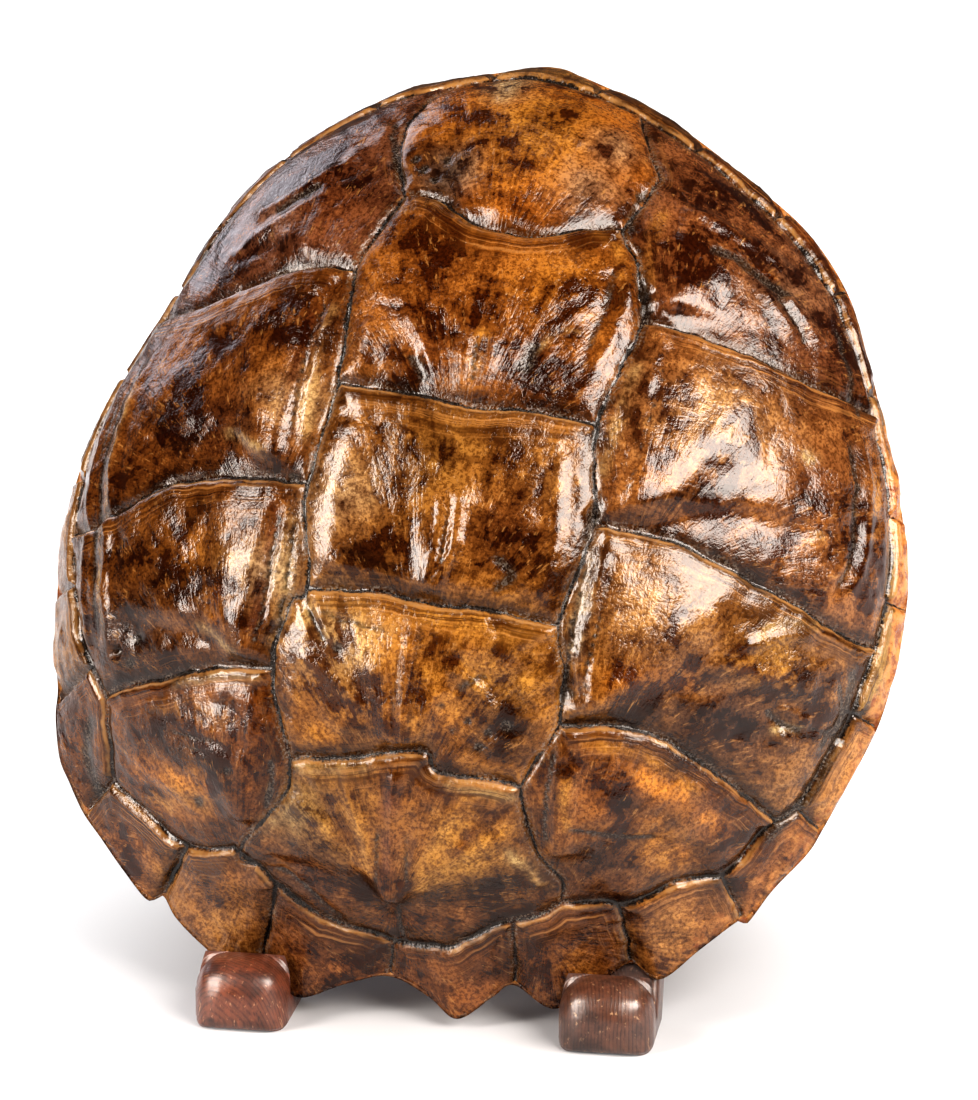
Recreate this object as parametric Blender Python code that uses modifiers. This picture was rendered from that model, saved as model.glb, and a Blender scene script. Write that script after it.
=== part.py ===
"""A snapping turtle's upper shell, leaning in a small stand of dark stained wood.

The shell is one grown piece: a thin bone dome under horn scutes, open below. The stand is
two arms with rounded toes, two rails across their backs and a leg behind.
Metres, +Z up. The toes point along -Y, and the shell's head end is at the top.
"""
import math

import bmesh
import bpy
import numpy as np
from mathutils import Matrix, Vector
from mathutils.geometry import delaunay_2d_cdt

MM = 0.001
GAP = 0.3 * MM                       # between pieces that touch

# Pose of the shell: its frame is x to its right, y toward the head, z out of the crown
LEAN = math.radians(25)              # of the rim's plane, back from upright
ROLL = math.radians(5)               # the tail end swings to the shell's right
SHELL_PLACE = Vector((7.0, 90.8, 160.4)) * MM   # foot of the crown's axis, on the rim's plane

# The dome
CROWN_HEIGHT = 88 * MM               # crown above the rim's plane
FLANK_ANGLE = math.radians(82)       # how far the side has turned down where it meets the rim
HEAD_ANGLE = math.radians(76)
TAIL_ANGLE = math.radians(62)
FLARE = 3 * MM                       # dip above the marginals: none at the head, double at the tail
FLARE_POWER = 6                      # the higher, the closer to the rim the dip lies
TOOTH_POWER = 8                      # a tooth of the rim fades out up the side
WALL_CROWN = 5.5 * MM                # thickness at the crown
WALL_RIM = 9 * MM                    # and at the rim

# Radius of the smooth rim every 30 degrees, from the shell's right side toward the head
BODY_RADII = [152, 148.5, 157, 171, 160, 143, 149, 163, 172, 163.5, 165, 160]

# The real rim in millimetres, seen from above the crown, from the head end round by the right
# flank to the tail and back by the left flank; behind, each marginal scute ends in a tooth
RIM = [
    (0, 171), (21, 166), (40, 158.5), (55, 151), (79, 136), (101, 120), (118, 99), (129, 74),
    (138, 50), (147, 24), (152.5, 0), (152.5, -25), (150, -46), (146, -60), (140, -76), (135, -89),
    (131, -98), (121, -112), (114, -124.5), (111, -124), (99, -136), (87, -148), (76, -144),
    (66, -153), (52, -163.5), (37, -157.5), (30, -163), (19, -172), (8, -166), (-7, -161),
    (-22, -166), (-37, -173), (-47, -168), (-53, -165), (-62, -167), (-75, -160), (-86, -152),
    (-92, -145), (-97, -147.5), (-108, -138), (-118, -128), (-126, -120), (-133, -110),
    (-138, -102), (-142, -88), (-143, -78), (-146, -66), (-148, -54), (-151, -27), (-149.5, 0),
    (-144, 25), (-134, 48), (-124, 71), (-115, 96), (-100, 119), (-80, 138), (-57, 155),
    (-40, 161), (-21, 167),
]

# The seam above the marginal scutes: direction in degrees, and how far down the side it runs
BORDER = [
    (-160, 0.80), (-145, 0.75), (-140, 0.80), (-136, 0.86), (-130, 0.83), (-122.5, 0.81),
    (-116, 0.74), (-112, 0.75), (-109, 0.78), (-101.5, 0.82), (-92, 0.88), (-84, 0.85),
    (-77, 0.81), (-67.5, 0.77), (-60, 0.80), (-52, 0.82), (-46, 0.86), (-37, 0.85), (-33.5, 0.88),
    (-24, 0.87), (-12, 0.87), (-4, 0.89), (9, 0.91), (22, 0.92), (38, 0.93), (52, 0.92),
    (66, 0.91), (77, 0.89), (90, 0.88), (100, 0.89), (114, 0.91), (129, 0.92), (143, 0.92),
    (155, 0.91), (168, 0.90), (180, 0.88), (190, 0.85),
]

# Seams across the back, from the head to the tail, in millimetres from above the crown
CROSS_SEAMS = [
    [(-34, 102), (-23, 102), (-4, 93), (13, 91), (32, 98), (43, 99)],
    [(-42, 30), (-22, 30), (-1, 27), (29, 28), (48, 27)],
    [(-40, -41), (-18, -39), (3, -41), (20, -40), (45, -42)],
    [(-41, -96), (-22, -94), (-8, -90), (6, -89), (10, -94), (32, -94), (38, -95)],
]

# Seams along the back, between the middle scutes and the side scutes
LONG_SEAMS = [
    [(-34, 102), (-44, 72), (-42, 30), (-46, -6), (-40, -41), (-46, -46), (-50, -69), (-41, -96)],
    [(43, 99), (52, 83), (56, 66), (48, 27), (52, -7), (45, -42), (49, -58), (48, -74), (38, -95)],
]

# Seams that end on the border: their points, then the direction in degrees where they end
SIDE_CROSS_SEAMS = [
    ([(-44, 72), (-63, 72), (-85, 65), (-109, 58)], 155.3),
    ([(-46, -6), (-66, -5), (-95, -8), (-113, -15), (-129, -23)], -170.5),
    ([(-50, -69), (-68, -69), (-90, -74), (-109, -78)], -145),
    ([(56, 66), (69, 66), (88, 63), (108, 59)], 22.4),
    ([(52, -7), (74, -7), (94, -12), (114, -18), (134, -25)], -10),
    ([(48, -74), (65, -71), (82, -72), (102, -80)], -36.7),
]
END_LONG_SEAMS = [
    ([(-34, 102), (-41, 121), (-42, 134), (-38, 148)], 100.5),
    ([(43, 99), (46, 108), (50, 123), (46, 133)], 76.7),
    ([(-41, -96), (-43, -108), (-56, -122), (-59, -130)], -112.3),
    ([(38, -95), (40, -103), (46, -116), (53, -122)], -67.5),
]

# Seams between marginal scutes: direction at the border and at the rim, in degrees
MARGINAL_SEAMS = [
    (83, 83), (68, 68), (54, 54), (41, 41), (26, 26), (8.5, 8.5), (-3.4, -3.4), (-19, -19),
    (-33.5, -33.5), (-46.5, -47.9), (-60.4, -62.2), (-75, -76.8), (-92, -92.5), (-109, -107.8),
    (-122.5, -122.4), (-136.3, -136.3), (-150, -150), (-163, -163), (-179, -179), (165, 165),
    (150, 150), (139, 139), (126, 126), (112, 112), (97, 97),
]

# Relief of the scutes
GROOVE_DEPTH, GROOVE_WIDTH = 1.4 * MM, 1.7 * MM
LIP_HEIGHT, LIP_OFFSET, LIP_WIDTH = 0.9 * MM, 3.2 * MM, 2.2 * MM    # the new horn behind a seam
PILLOW_HEIGHT, PILLOW_REACH = 1.8 * MM, 12 * MM
SHOULDER = 2.6 * MM                  # where a groove's side meets the scute
RELIEF_FADE = 0.04                   # the relief dies out over this last share of the side

# Knobs of the three keels: x, y, height, half-width, half-length toward the head; millimetres
KNOB_BACK = 0.45                     # a knob falls off more steeply toward the tail
KNOBS = [
    (4, 112, 1.5, 16, 22), (6, 44, 1.5, 14, 26), (4, -24, 2, 14, 28), (-1, -78, 2, 14, 24),
    (-3, -128, 3, 12, 26), (-59, 84, 2.5, 18, 26), (-58, 8, 3.5, 16, 30), (-61, -60, 4.5, 16, 30),
    (-62, -112, 3.5, 16, 24), (64, 80, 2.5, 18, 26), (62, 4, 3.5, 16, 30), (60, -62, 4.5, 16, 30),
    (60, -112, 3.5, 16, 24), (-12, -63, 1.2, 7, 8),
]

# Pits and scars: x, y, radius, depth; millimetres
PITS = [(123, -59, 3.5, 2), (-113, -66, 2, 2.2), (55, 77, 3, 1.8), (-3, -131, 2.5, 1.5)]

# The hollow side: the backbone and the ribs stand up from the bone
SPINE_HEIGHT, SPINE_WIDTH = 6 * MM, 7 * MM
SPINE_ENDS = (142 * MM, -140 * MM)
RIB_HEIGHT, RIB_WIDTH = 2 * MM, 6 * MM
RIB_HEADS = [112, 78, 44, 10, -24, -56, -84, -108]      # where ribs leave the backbone, mm
RIB_START = 11 * MM                  # from the middle of the backbone
RIB_SPREAD = 0.28                    # the end ribs fan toward the head and the tail
RIB_SIDE = 110 * MM                  # a rib points at this place on the side
RIB_REACH = 0.86                     # of the way down the side

# How finely the surfaces are drawn
SEAM_STEP, RIM_STEP = 5 * MM, 7.5 * MM
SEAM_END_CLEAR = 0.5                 # degrees between a seam's end and the next corner of the rim
OUTSIDE_STEP, INSIDE_STEP = 9.0 * MM, 11.5 * MM
LATTICE_CLEAR = 6.8 * MM             # from a seam to the lattice of the scutes
LATTICE_REACH = 190 * MM             # past the rim on every side
SHOULDER_SHARE = 0.97                # shoulders stop this far down the side, at the rim's edge
MERGED = 1e-6                        # corners closer than this are one, in metres
TINY = 1e-9

# The stand
ARM_X = 64 * MM                      # middle of each arm from the middle of the stand
ARM_WIDTH = 33 * MM
ARM_THICKNESS = 17 * MM              # of the leaning part
ARM_TOP = 149 * MM                   # its end, measured up the rim's plane from the crown's axis
ARM_TOP_SLANT = 24 * MM              # the end is sawn lower on its outer side, behind the shell
TOE_HEIGHT = 24 * MM
TOE_BACK = 16.5 * MM                  # length of the toe's top, from its front
NOTCH_FLOOR = 9.0 * MM
NOTCH_FRONT = 16.6 * MM
NOTCH_RISE = 0.4 * MM                # of the notch's floor toward the leaning part
TOE_ROUND, FRONT_ROUND, EDGE_ROUND, SOLE_ROUND = 8.5 * MM, 6.5 * MM, 2.4 * MM, 2.2 * MM
NOTCH_ROUND = 0.3 * MM               # the toe's back edge is nearly crisp
ROUND_STEPS = 5
RAIL_LENGTH, RAIL_HEIGHT, RAIL_THICKNESS = 158 * MM, 28 * MM, 12 * MM
RAIL_PLACES = {"top_rail": 100 * MM, "bottom_rail": -104 * MM}
LEG_WIDTH = 30 * MM
LEG_FOOT_FRONT, LEG_FOOT_BACK = 168 * MM, 186 * MM
LEG_TOP_THICKNESS = 15 * MM
RAIL_ROUND, RAIL_ROUND_STEPS = 1.8 * MM, 2
SHARP = math.radians(40)


def spline(points, step, closed=False):
    """A smooth curve through the points, each of them kept, with a point about every step."""
    points = np.asarray(points, float)
    count = len(points)

    def point(i):
        return points[i % count] if closed else points[min(max(i, 0), count - 1)]

    curve = []
    for i in range(count if closed else count - 1):
        a, b, c, d = point(i - 1), point(i), point(i + 1), point(i + 2)
        pieces = max(1, round(float(np.linalg.norm(c - b)) / step))
        for t in np.arange(pieces) / pieces:
            bend = (2 * a - 5 * b + 4 * c - d) * t ** 2 + (3 * b - a - 3 * c + d) * t ** 3
            curve.append(0.5 * (2 * b + (c - a) * t + bend))
    if not closed:
        curve.append(points[-1])
    return np.array(curve)


def directions(degrees):
    """Unit vectors in the rim's plane."""
    angle = np.radians(degrees)
    return np.stack([np.cos(angle), np.sin(angle)], -1)


def radius_by_angle(outline):
    """The distance from the crown's axis to a closed outline, as a function of direction."""
    loop = spline(outline, MM, closed=True)
    angle = np.arctan2(loop[:, 1], loop[:, 0])
    order = np.argsort(angle)
    radius = np.hypot(loop[:, 0], loop[:, 1])[order]
    return lambda at: np.interp(at, angle[order], radius, period=2 * math.pi)


smooth_rim = directions(np.arange(0, 360, 30)) * np.array(BODY_RADII)[:, None] * MM
body_radius = radius_by_angle(smooth_rim)
rim_radius = radius_by_angle(np.array(RIM) * MM)


def down_the_side(points):
    """The share of the way from the crown to the smooth rim, for points of the map."""
    return np.hypot(*points.T) / body_radius(np.arctan2(points[:, 1], points[:, 0]))


def side_angle(angle):
    """How far the dome has turned down at the rim, by direction."""
    head = np.clip(np.sin(angle), 0, 1) ** 2
    tail = np.clip(-np.sin(angle), 0, 1) ** 2
    return FLANK_ANGLE * (1 - head - tail) + HEAD_ANGLE * head + TAIL_ANGLE * tail


def to_map(plan):
    """Points seen from above the crown, brought to the flat map that the surface is drawn on.

    On the map a point keeps its direction from the crown, and its distance is its share of
    the way down the side, times the smooth rim's radius.
    """
    plan = np.atleast_2d(plan)
    angle = np.arctan2(plan[:, 1], plan[:, 0])
    side, body = side_angle(angle), body_radius(angle)
    reach = np.hypot(plan[:, 0], plan[:, 1]) / body
    share = np.arcsin(np.clip(reach * np.sin(side), 0, 1)) / side
    return (share * body)[:, None] * np.stack([np.cos(angle), np.sin(angle)], -1)


def lift(points, inside=False):
    """Points of the map carried up onto the dome's outer surface, or its inner one."""
    angle = np.arctan2(points[:, 1], points[:, 0])
    side, body = side_angle(angle), body_radius(angle)
    share = down_the_side(points)
    if inside:
        reach = (body - WALL_RIM) * np.sin(side * share) / np.sin(side)
        height = CROWN_HEIGHT - WALL_CROWN
    else:
        reach = body * np.sin(side * share) / np.sin(side)
        reach = reach + (rim_radius(angle) - body) * share ** TOOTH_POWER
        height = CROWN_HEIGHT
    up = height * (np.cos(side * share) - np.cos(side)) / (1 - np.cos(side))
    deepest = FLARE_POWER ** FLARE_POWER / (FLARE_POWER + 1) ** (FLARE_POWER + 1)
    dip = (1 - share) * share ** FLARE_POWER / deepest
    up = up - FLARE * (1 - np.sin(angle)) * dip
    return np.stack([reach * np.cos(angle), reach * np.sin(angle), up], -1)


def normals(points, inside=False):
    """Outward unit normals of the dome at points of the map."""
    small = 0.5 * MM
    along_x = lift(points + [small, 0], inside) - lift(points - [small, 0], inside)
    along_y = lift(points + [0, small], inside) - lift(points - [0, small], inside)
    normal = np.cross(along_x, along_y)
    return normal / np.linalg.norm(normal, axis=1)[:, None]


def on_border(degrees):
    """Map points on the seam above the marginal scutes."""
    table = np.array(BORDER)
    share = np.interp(degrees, table[:, 0], table[:, 1], period=360)
    radius = share * body_radius(np.radians(degrees))
    return np.asarray(radius)[..., None] * directions(degrees)


def stations(fixed, step):
    """Directions all round, in degrees: the fixed ones, and others between them."""
    fixed = np.unique(np.asarray(fixed, float) % 360)
    result = []
    for start, end in zip(fixed, np.append(fixed[1:], fixed[0] + 360)):
        length = math.radians(end - start) * float(body_radius(math.radians(start)))
        pieces = max(1, round(length / step))
        result.extend(start + (end - start) * np.arange(pieces) / pieces)
    return np.array(result)


def seam_network():
    """The seams on the map, as curves, each with the side on which new horn stands up."""
    toward_tail, no_side = (0, -1), (0, 0)
    curves = [(spline(to_map(np.array(s) * MM), SEAM_STEP), toward_tail) for s in CROSS_SEAMS]
    curves += [(spline(to_map(np.array(s) * MM), SEAM_STEP), no_side) for s in LONG_SEAMS]
    for seams, side in ((SIDE_CROSS_SEAMS, toward_tail), (END_LONG_SEAMS, no_side)):
        for plan, end in seams:
            points = np.vstack([to_map(np.array(plan) * MM), on_border(end)])
            curves.append((spline(points, SEAM_STEP), side))
    for top, bottom in MARGINAL_SEAMS:
        start = on_border(top)
        end = body_radius(math.radians(bottom)) * directions(bottom)
        curves.append((spline([start, end], SEAM_STEP), toward_tail))
    ends = [end for _, end in SIDE_CROSS_SEAMS + END_LONG_SEAMS]
    ends += [top for top, _ in MARGINAL_SEAMS]
    border = on_border(stations(ends, SEAM_STEP))
    curves.append((np.vstack([border, border[:1]]), None))
    return curves


def segments(curves):
    """All straight pieces of the curves: starts, ends, and the side where horn stands up."""
    starts = np.vstack([curve[:-1] for curve, _ in curves])
    ends = np.vstack([curve[1:] for curve, _ in curves])
    sides = []
    for curve, side in curves:
        middle = 0.5 * (curve[:-1] + curve[1:])
        outward = middle / np.linalg.norm(middle, axis=1)[:, None]
        sides.append(outward if side is None else np.tile(side, (len(middle), 1)))
    return starts, ends, np.vstack(sides)


def nearest(points, starts, ends):
    """For each point: the nearest straight piece, its distance, and the way from it."""
    along = ends - starts
    length2 = np.maximum((along ** 2).sum(1), TINY ** 2)
    away = points[:, None, :] - starts[None]
    t = np.clip((away * along).sum(2) / length2, 0, 1)
    gap = away - t[..., None] * along
    distance = np.linalg.norm(gap, axis=2)
    index = distance.argmin(1)
    rows = np.arange(len(points))
    return index, distance[rows, index], gap[rows, index]


def outside_relief(points, network):
    """Height of the horn over the smooth dome: grooves, lips, pillowed scutes, keels, pits."""
    starts, ends, sides = network
    index, distance, away = nearest(points, starts, ends)
    way = away / np.maximum(distance, TINY)[:, None]
    lip_side = np.clip((way * sides[index]).sum(1), 0, 1)
    height = PILLOW_HEIGHT * (1 - np.exp(-distance / PILLOW_REACH))
    height -= GROOVE_DEPTH * np.exp(-(distance / GROOVE_WIDTH) ** 2)
    height += LIP_HEIGHT * lip_side * np.exp(-((distance - LIP_OFFSET) / LIP_WIDTH) ** 2)
    plan = lift(points)[:, :2]
    for x, y, rise, half_width, half_length in KNOBS:
        dx, dy = plan[:, 0] - x * MM, plan[:, 1] - y * MM
        length = np.where(dy > 0, half_length, half_length * KNOB_BACK) * MM
        height += rise * MM * np.exp(-(dx / (half_width * MM)) ** 2 - (dy / length) ** 2)
    for x, y, radius, depth in PITS:
        off = np.hypot(plan[:, 0] - x * MM, plan[:, 1] - y * MM)
        height -= depth * MM * np.exp(-(off / (radius * MM)) ** 2)
    return height * np.clip((1 - down_the_side(points)) / RELIEF_FADE, 0, 1)


def rib_lines():
    """Middle lines of the backbone and of the ribs, on the map of the inner surface."""
    spine = to_map([(0, SPINE_ENDS[0]), (0, 0), (0, SPINE_ENDS[1])])
    lines = [spline(spine, INSIDE_STEP)]
    for head in RIB_HEADS:
        for side in (-1, 1):
            start = np.array([side * RIB_START, head * MM])
            angle = math.atan2(head * MM * (1 + RIB_SPREAD), side * RIB_SIDE)
            end = RIB_REACH * float(body_radius(angle)) * directions(math.degrees(angle))
            lines.append(spline([start, 0.5 * (start + end), end], INSIDE_STEP))
    return lines


def inside_relief(points, lines):
    """Height of the backbone and the ribs over the hollow's smooth bone."""
    height = np.zeros(len(points))
    for number, line in enumerate(lines):
        _, distance, _ = nearest(points, line[:-1], line[1:])
        rise, width = (SPINE_HEIGHT, SPINE_WIDTH) if number == 0 else (RIB_HEIGHT, RIB_WIDTH)
        height = np.maximum(height, rise * np.exp(-(distance / width) ** 2))
    return height


def honeycomb(step, reach):
    """Points of a triangular lattice that fills a square of the map."""
    rows = int(reach / (step * math.sqrt(0.75))) + 1
    columns = int(reach / step) + 1
    points = []
    for row in range(-rows, rows + 1):
        for column in range(-columns, columns + 1):
            points.append(((column + 0.5 * (row % 2)) * step, row * step * math.sqrt(0.75)))
    return np.array(points)


def spaced(points, kept, least):
    """The points that lie at least so far from the kept ones and from each other."""
    kept = list(kept)
    chosen = []
    for point in points:
        if not kept or np.hypot(*(np.array(kept) - point).T).min() >= least:
            kept.append(point)
            chosen.append(point)
    return chosen


def shoulder_points(curves, starts, ends):
    """Points on both sides of each seam, where the groove's sides meet the scutes."""
    candidates = []
    for curve, _ in curves:
        tangent = np.gradient(curve, axis=0)
        normal = np.stack([-tangent[:, 1], tangent[:, 0]], -1)
        normal /= np.maximum(np.linalg.norm(normal, axis=1), TINY)[:, None]
        candidates += [curve + SHOULDER * normal, curve - SHOULDER * normal]
    candidates = np.vstack(candidates)
    _, distance, _ = nearest(candidates, starts, ends)
    clear_of_seams = distance > 0.85 * SHOULDER
    off_the_rim = down_the_side(candidates) < SHOULDER_SHARE
    return spaced(candidates[clear_of_seams & off_the_rim], [], 0.8 * SHOULDER)


def triangulate(loop, curves, points):
    """Triangles inside the loop, with the loop and the curves among their edges."""
    verts, edges = [], []
    for curve in [np.vstack([loop, loop[:1]])] + list(curves):
        first = len(verts)
        verts.extend(curve)
        edges.extend((first + i, first + i + 1) for i in range(len(curve) - 1))
    verts.extend(points)
    inside_only = 1
    out = delaunay_2d_cdt([Vector(v) for v in verts], edges, [], inside_only, MERGED)
    return np.array([tuple(v) for v in out[0]]), [tuple(f) for f in out[2]]


def inner_points(step, loop, starts, ends, clear):
    """Lattice points inside the loop that keep clear of the curves and of the loop."""
    lattice = honeycomb(step, LATTICE_REACH)
    lattice = lattice[down_the_side(lattice) < 1]
    starts = np.vstack([starts, loop])
    ends = np.vstack([ends, np.roll(loop, -1, 0)])
    _, distance, _ = nearest(lattice, starts, ends)
    return lattice[distance > clear]


def outside_surface(loop):
    """The horn side: map triangles, and their corners lifted onto the dome with its relief."""
    curves = seam_network()
    starts, ends, sides = segments(curves)
    shoulders = shoulder_points(curves, starts, ends)
    pits = []
    for x, y, radius, _ in PITS:
        middle = to_map((x * MM, y * MM))[0]
        pits.append(middle)
        pits.extend(middle + radius * MM * directions(np.arange(0, 360, 60)))
    points = spaced(pits, shoulders, MM)
    lattice = inner_points(OUTSIDE_STEP, loop, starts, ends, LATTICE_CLEAR)
    points += spaced(lattice, pits, 0.5 * OUTSIDE_STEP)
    corners, triangles = triangulate(loop, [c for c, _ in curves], shoulders + points)
    relief = outside_relief(corners, (starts, ends, sides))
    return lift(corners) + relief[:, None] * normals(corners), triangles


def inside_surface(loop):
    """The bone side of the hollow, with the backbone and the ribs."""
    lines = rib_lines()
    starts = np.vstack([line[:-1] for line in lines])
    ends = np.vstack([line[1:] for line in lines])
    points = inner_points(INSIDE_STEP, loop, starts, ends, 0.5 * INSIDE_STEP)
    corners, triangles = triangulate(loop, lines, points)
    relief = inside_relief(corners, lines)
    return lift(corners, inside=True) - relief[:, None] * normals(corners, inside=True), triangles


def rim_loop():
    """Corners of the rim on the map: the seams' ends, every named point, and others between."""
    seam_ends = np.array([bottom for _, bottom in MARGINAL_SEAMS]) % 360
    named = np.array(RIM)
    named = np.degrees(np.arctan2(named[:, 1], named[:, 0])) % 360
    gap = np.abs(named[:, None] - seam_ends).min(1)
    angle = stations(np.concatenate([seam_ends, named[gap > SEAM_END_CLEAR]]), RIM_STEP)
    return body_radius(np.radians(angle))[:, None] * directions(angle)


def material(name, colour, roughness):
    """A plain surface of one colour."""
    new = bpy.data.materials.new(name)
    new.use_nodes = True
    shader = new.node_tree.nodes["Principled BSDF"]
    shader.inputs["Base Color"].default_value = (*colour, 1)
    shader.inputs["Roughness"].default_value = roughness
    return new


def add_object(name, mesh, collection, parent, surface):
    """Put a mesh in the scene as one named piece."""
    piece = bpy.data.objects.new(name, mesh)
    mesh.materials.append(surface)
    piece.parent = parent
    collection.objects.link(piece)
    return piece


def carapace_mesh():
    """One closed body: the horn side and the hollow's side, joined by the band of the rim."""
    loop = rim_loop()
    bm = bmesh.new()
    rims = []
    for corners, triangles in (outside_surface(loop), inside_surface(loop)):
        verts = [bm.verts.new(c) for c in corners]
        for triangle in triangles:
            bm.faces.new([verts[i] for i in triangle])
        rims.append(verts[:len(loop)])
    outer, inner = rims
    for i in range(len(loop)):
        bm.faces.new((outer[i - 1], inner[i - 1], inner[i], outer[i]))
    bmesh.ops.recalc_face_normals(bm, faces=bm.faces)
    mesh = bpy.data.meshes.new("carapace")
    bm.to_mesh(mesh)
    bm.free()
    mesh.shade_smooth()
    return mesh


def add_carapace(collection, parent):
    """The shell, leaning back in the stand."""
    surface = material("horn", (0.20, 0.075, 0.022), 0.3)
    shell = add_object("carapace", carapace_mesh(), collection, parent, surface)
    roll = Matrix.Rotation(-ROLL, 4, "Z")
    lean = Matrix.Rotation(math.radians(90) - LEAN, 4, "X")
    shell.matrix_local = Matrix.Translation(SHELL_PLACE) @ lean @ roll
    return shell


def rim_plane(along, behind=0.0):
    """A point (y, z) on the rim's plane, or behind it, measured up from the crown's axis."""
    y = SHELL_PLACE.y + along * math.sin(LEAN) + behind * math.cos(LEAN)
    z = SHELL_PLACE.z + along * math.cos(LEAN) - behind * math.sin(LEAN)
    return y, z


def plane_at_height(z, behind):
    """The y of a plane behind the rim's plane, at a height."""
    foot, level = rim_plane(0, behind)
    return foot + (z - level) * math.tan(LEAN)


def arm_outline():
    """An arm seen from the side: toe, notch for the rim, leaning part."""
    back = GAP + ARM_THICKNESS
    notch_top = NOTCH_FLOOR + NOTCH_RISE
    return [
        (0, 0), (0, TOE_HEIGHT), (TOE_BACK, TOE_HEIGHT), (NOTCH_FRONT, NOTCH_FLOOR),
        (plane_at_height(notch_top, GAP), notch_top), rim_plane(ARM_TOP, GAP),
        rim_plane(ARM_TOP, back), (plane_at_height(0, back), 0),
    ]


def extrude_outline(outline, width):
    """A flat side outline (y, z) given its width along x."""
    bm = bmesh.new()
    side = bm.faces.new([bm.verts.new((-width / 2, y, z)) for y, z in outline])
    pushed = bmesh.ops.extrude_face_region(bm, geom=[side])
    moved = [item for item in pushed["geom"] if isinstance(item, bmesh.types.BMVert)]
    bmesh.ops.translate(bm, vec=(width, 0, 0), verts=moved)
    bmesh.ops.recalc_face_normals(bm, faces=bm.faces)
    return bm


def round_edges(bm, radius_of, largest):
    """Give each edge its own rounding, as a share of the largest."""
    weight = bm.edges.layers.float.new("bevel_weight_edge")
    for edge in bm.edges:
        edge[weight] = radius_of(edge) / largest


def arm_round(edge):
    """Rounding of an arm's edge: wide on the toe's top, narrow elsewhere, none in the notch."""
    a, b = (v.co for v in edge.verts)
    across = abs(a.x - b.x) > MM
    on_toe = max(a.y, b.y) < TOE_BACK + MM and max(a.z, b.z) < TOE_HEIGHT + MM
    in_notch = TOE_BACK < a.y < plane_at_height(a.z, GAP) + MM
    if across and in_notch and MM < a.z < TOE_HEIGHT - MM:
        return 0
    if not on_toe:
        return SOLE_ROUND if max(a.z, b.z) < MM else EDGE_ROUND
    if min(a.z, b.z) > TOE_HEIGHT - MM:
        return NOTCH_ROUND if across and a.y > MM else TOE_ROUND
    if max(a.y, b.y) < MM and not across:
        return FRONT_ROUND
    return SOLE_ROUND if max(a.z, b.z) < MM else EDGE_ROUND


def add_bevel(piece, width, steps, by_weight=False):
    """Round the edges of a piece."""
    bevel = piece.modifiers.new("rounding", "BEVEL")
    bevel.width = width
    bevel.segments = steps
    bevel.limit_method = "WEIGHT" if by_weight else "ANGLE"
    bevel.miter_outer = "MITER_ARC"


def finish_mesh(bm, name):
    """A mesh from modelled faces, shaded smooth but for its sharp edges."""
    mesh = bpy.data.meshes.new(name)
    bm.to_mesh(mesh)
    bm.free()
    mesh.shade_smooth()
    mesh.set_sharp_from_angle(angle=SHARP)
    return mesh


def slant_top(bm, side):
    """Lower the outer corners of an arm's end along the arm."""
    down = Vector((0, -math.sin(LEAN), -math.cos(LEAN))) * ARM_TOP_SLANT
    for vert in bm.verts:
        if vert.co.z > TOE_HEIGHT + MM and vert.co.x * side > 0:
            vert.co += down


def add_arms(collection, parent):
    """The two arms that carry the shell."""
    surface = material("dark_wood", (0.085, 0.028, 0.014), 0.4)
    for name, side in (("left_arm", -1), ("right_arm", 1)):
        bm = extrude_outline(arm_outline(), ARM_WIDTH)
        slant_top(bm, side)
        round_edges(bm, arm_round, TOE_ROUND)
        arm = add_object(name, finish_mesh(bm, name), collection, parent, surface)
        arm.location.x = side * ARM_X
        add_bevel(arm, TOE_ROUND, ROUND_STEPS, by_weight=True)


def add_rails(collection, parent):
    """The two rails across the backs of the arms."""
    surface = material("rail_wood", (0.10, 0.036, 0.018), 0.45)
    behind = GAP + ARM_THICKNESS + GAP + RAIL_THICKNESS / 2
    for name, along in RAIL_PLACES.items():
        bm = bmesh.new()
        bmesh.ops.create_cube(bm, size=1)
        bmesh.ops.scale(bm, vec=(RAIL_LENGTH, RAIL_THICKNESS, RAIL_HEIGHT), verts=bm.verts)
        rail = add_object(name, finish_mesh(bm, name), collection, parent, surface)
        y, z = rim_plane(along, behind)
        rail.location = (0, y, z)
        rail.rotation_euler.x = -LEAN
        add_bevel(rail, RAIL_ROUND, RAIL_ROUND_STEPS)


def add_leg(collection, parent):
    """The leg that stands behind, against the top rail."""
    surface = material("leg_wood", (0.095, 0.033, 0.017), 0.45)
    behind = GAP + ARM_THICKNESS + GAP + RAIL_THICKNESS + GAP
    low = rim_plane(RAIL_PLACES["top_rail"] - RAIL_HEIGHT / 2, behind)
    high = rim_plane(RAIL_PLACES["top_rail"] + RAIL_HEIGHT / 2, behind)
    outline = [
        (LEG_FOOT_FRONT, 0), low, high, (high[0] + LEG_TOP_THICKNESS, high[1]), (LEG_FOOT_BACK, 0),
    ]
    mesh = finish_mesh(extrude_outline(outline, LEG_WIDTH), "back_leg")
    leg = add_object("back_leg", mesh, collection, parent, surface)
    add_bevel(leg, RAIL_ROUND, RAIL_ROUND_STEPS)


def centre_on_floor(parent, pieces):
    """Move the whole so that the middle of its underside is at the origin."""
    bpy.context.view_layer.update()
    graph = bpy.context.evaluated_depsgraph_get()
    corners = []
    for piece in pieces:
        seen = piece.evaluated_get(graph)
        corners.extend(seen.matrix_world @ v.co for v in seen.data.vertices)
    corners = np.array(corners)
    low, high = corners.min(0), corners.max(0)
    parent.location = (-(low[0] + high[0]) / 2, -(low[1] + high[1]) / 2, -low[2])


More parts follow.
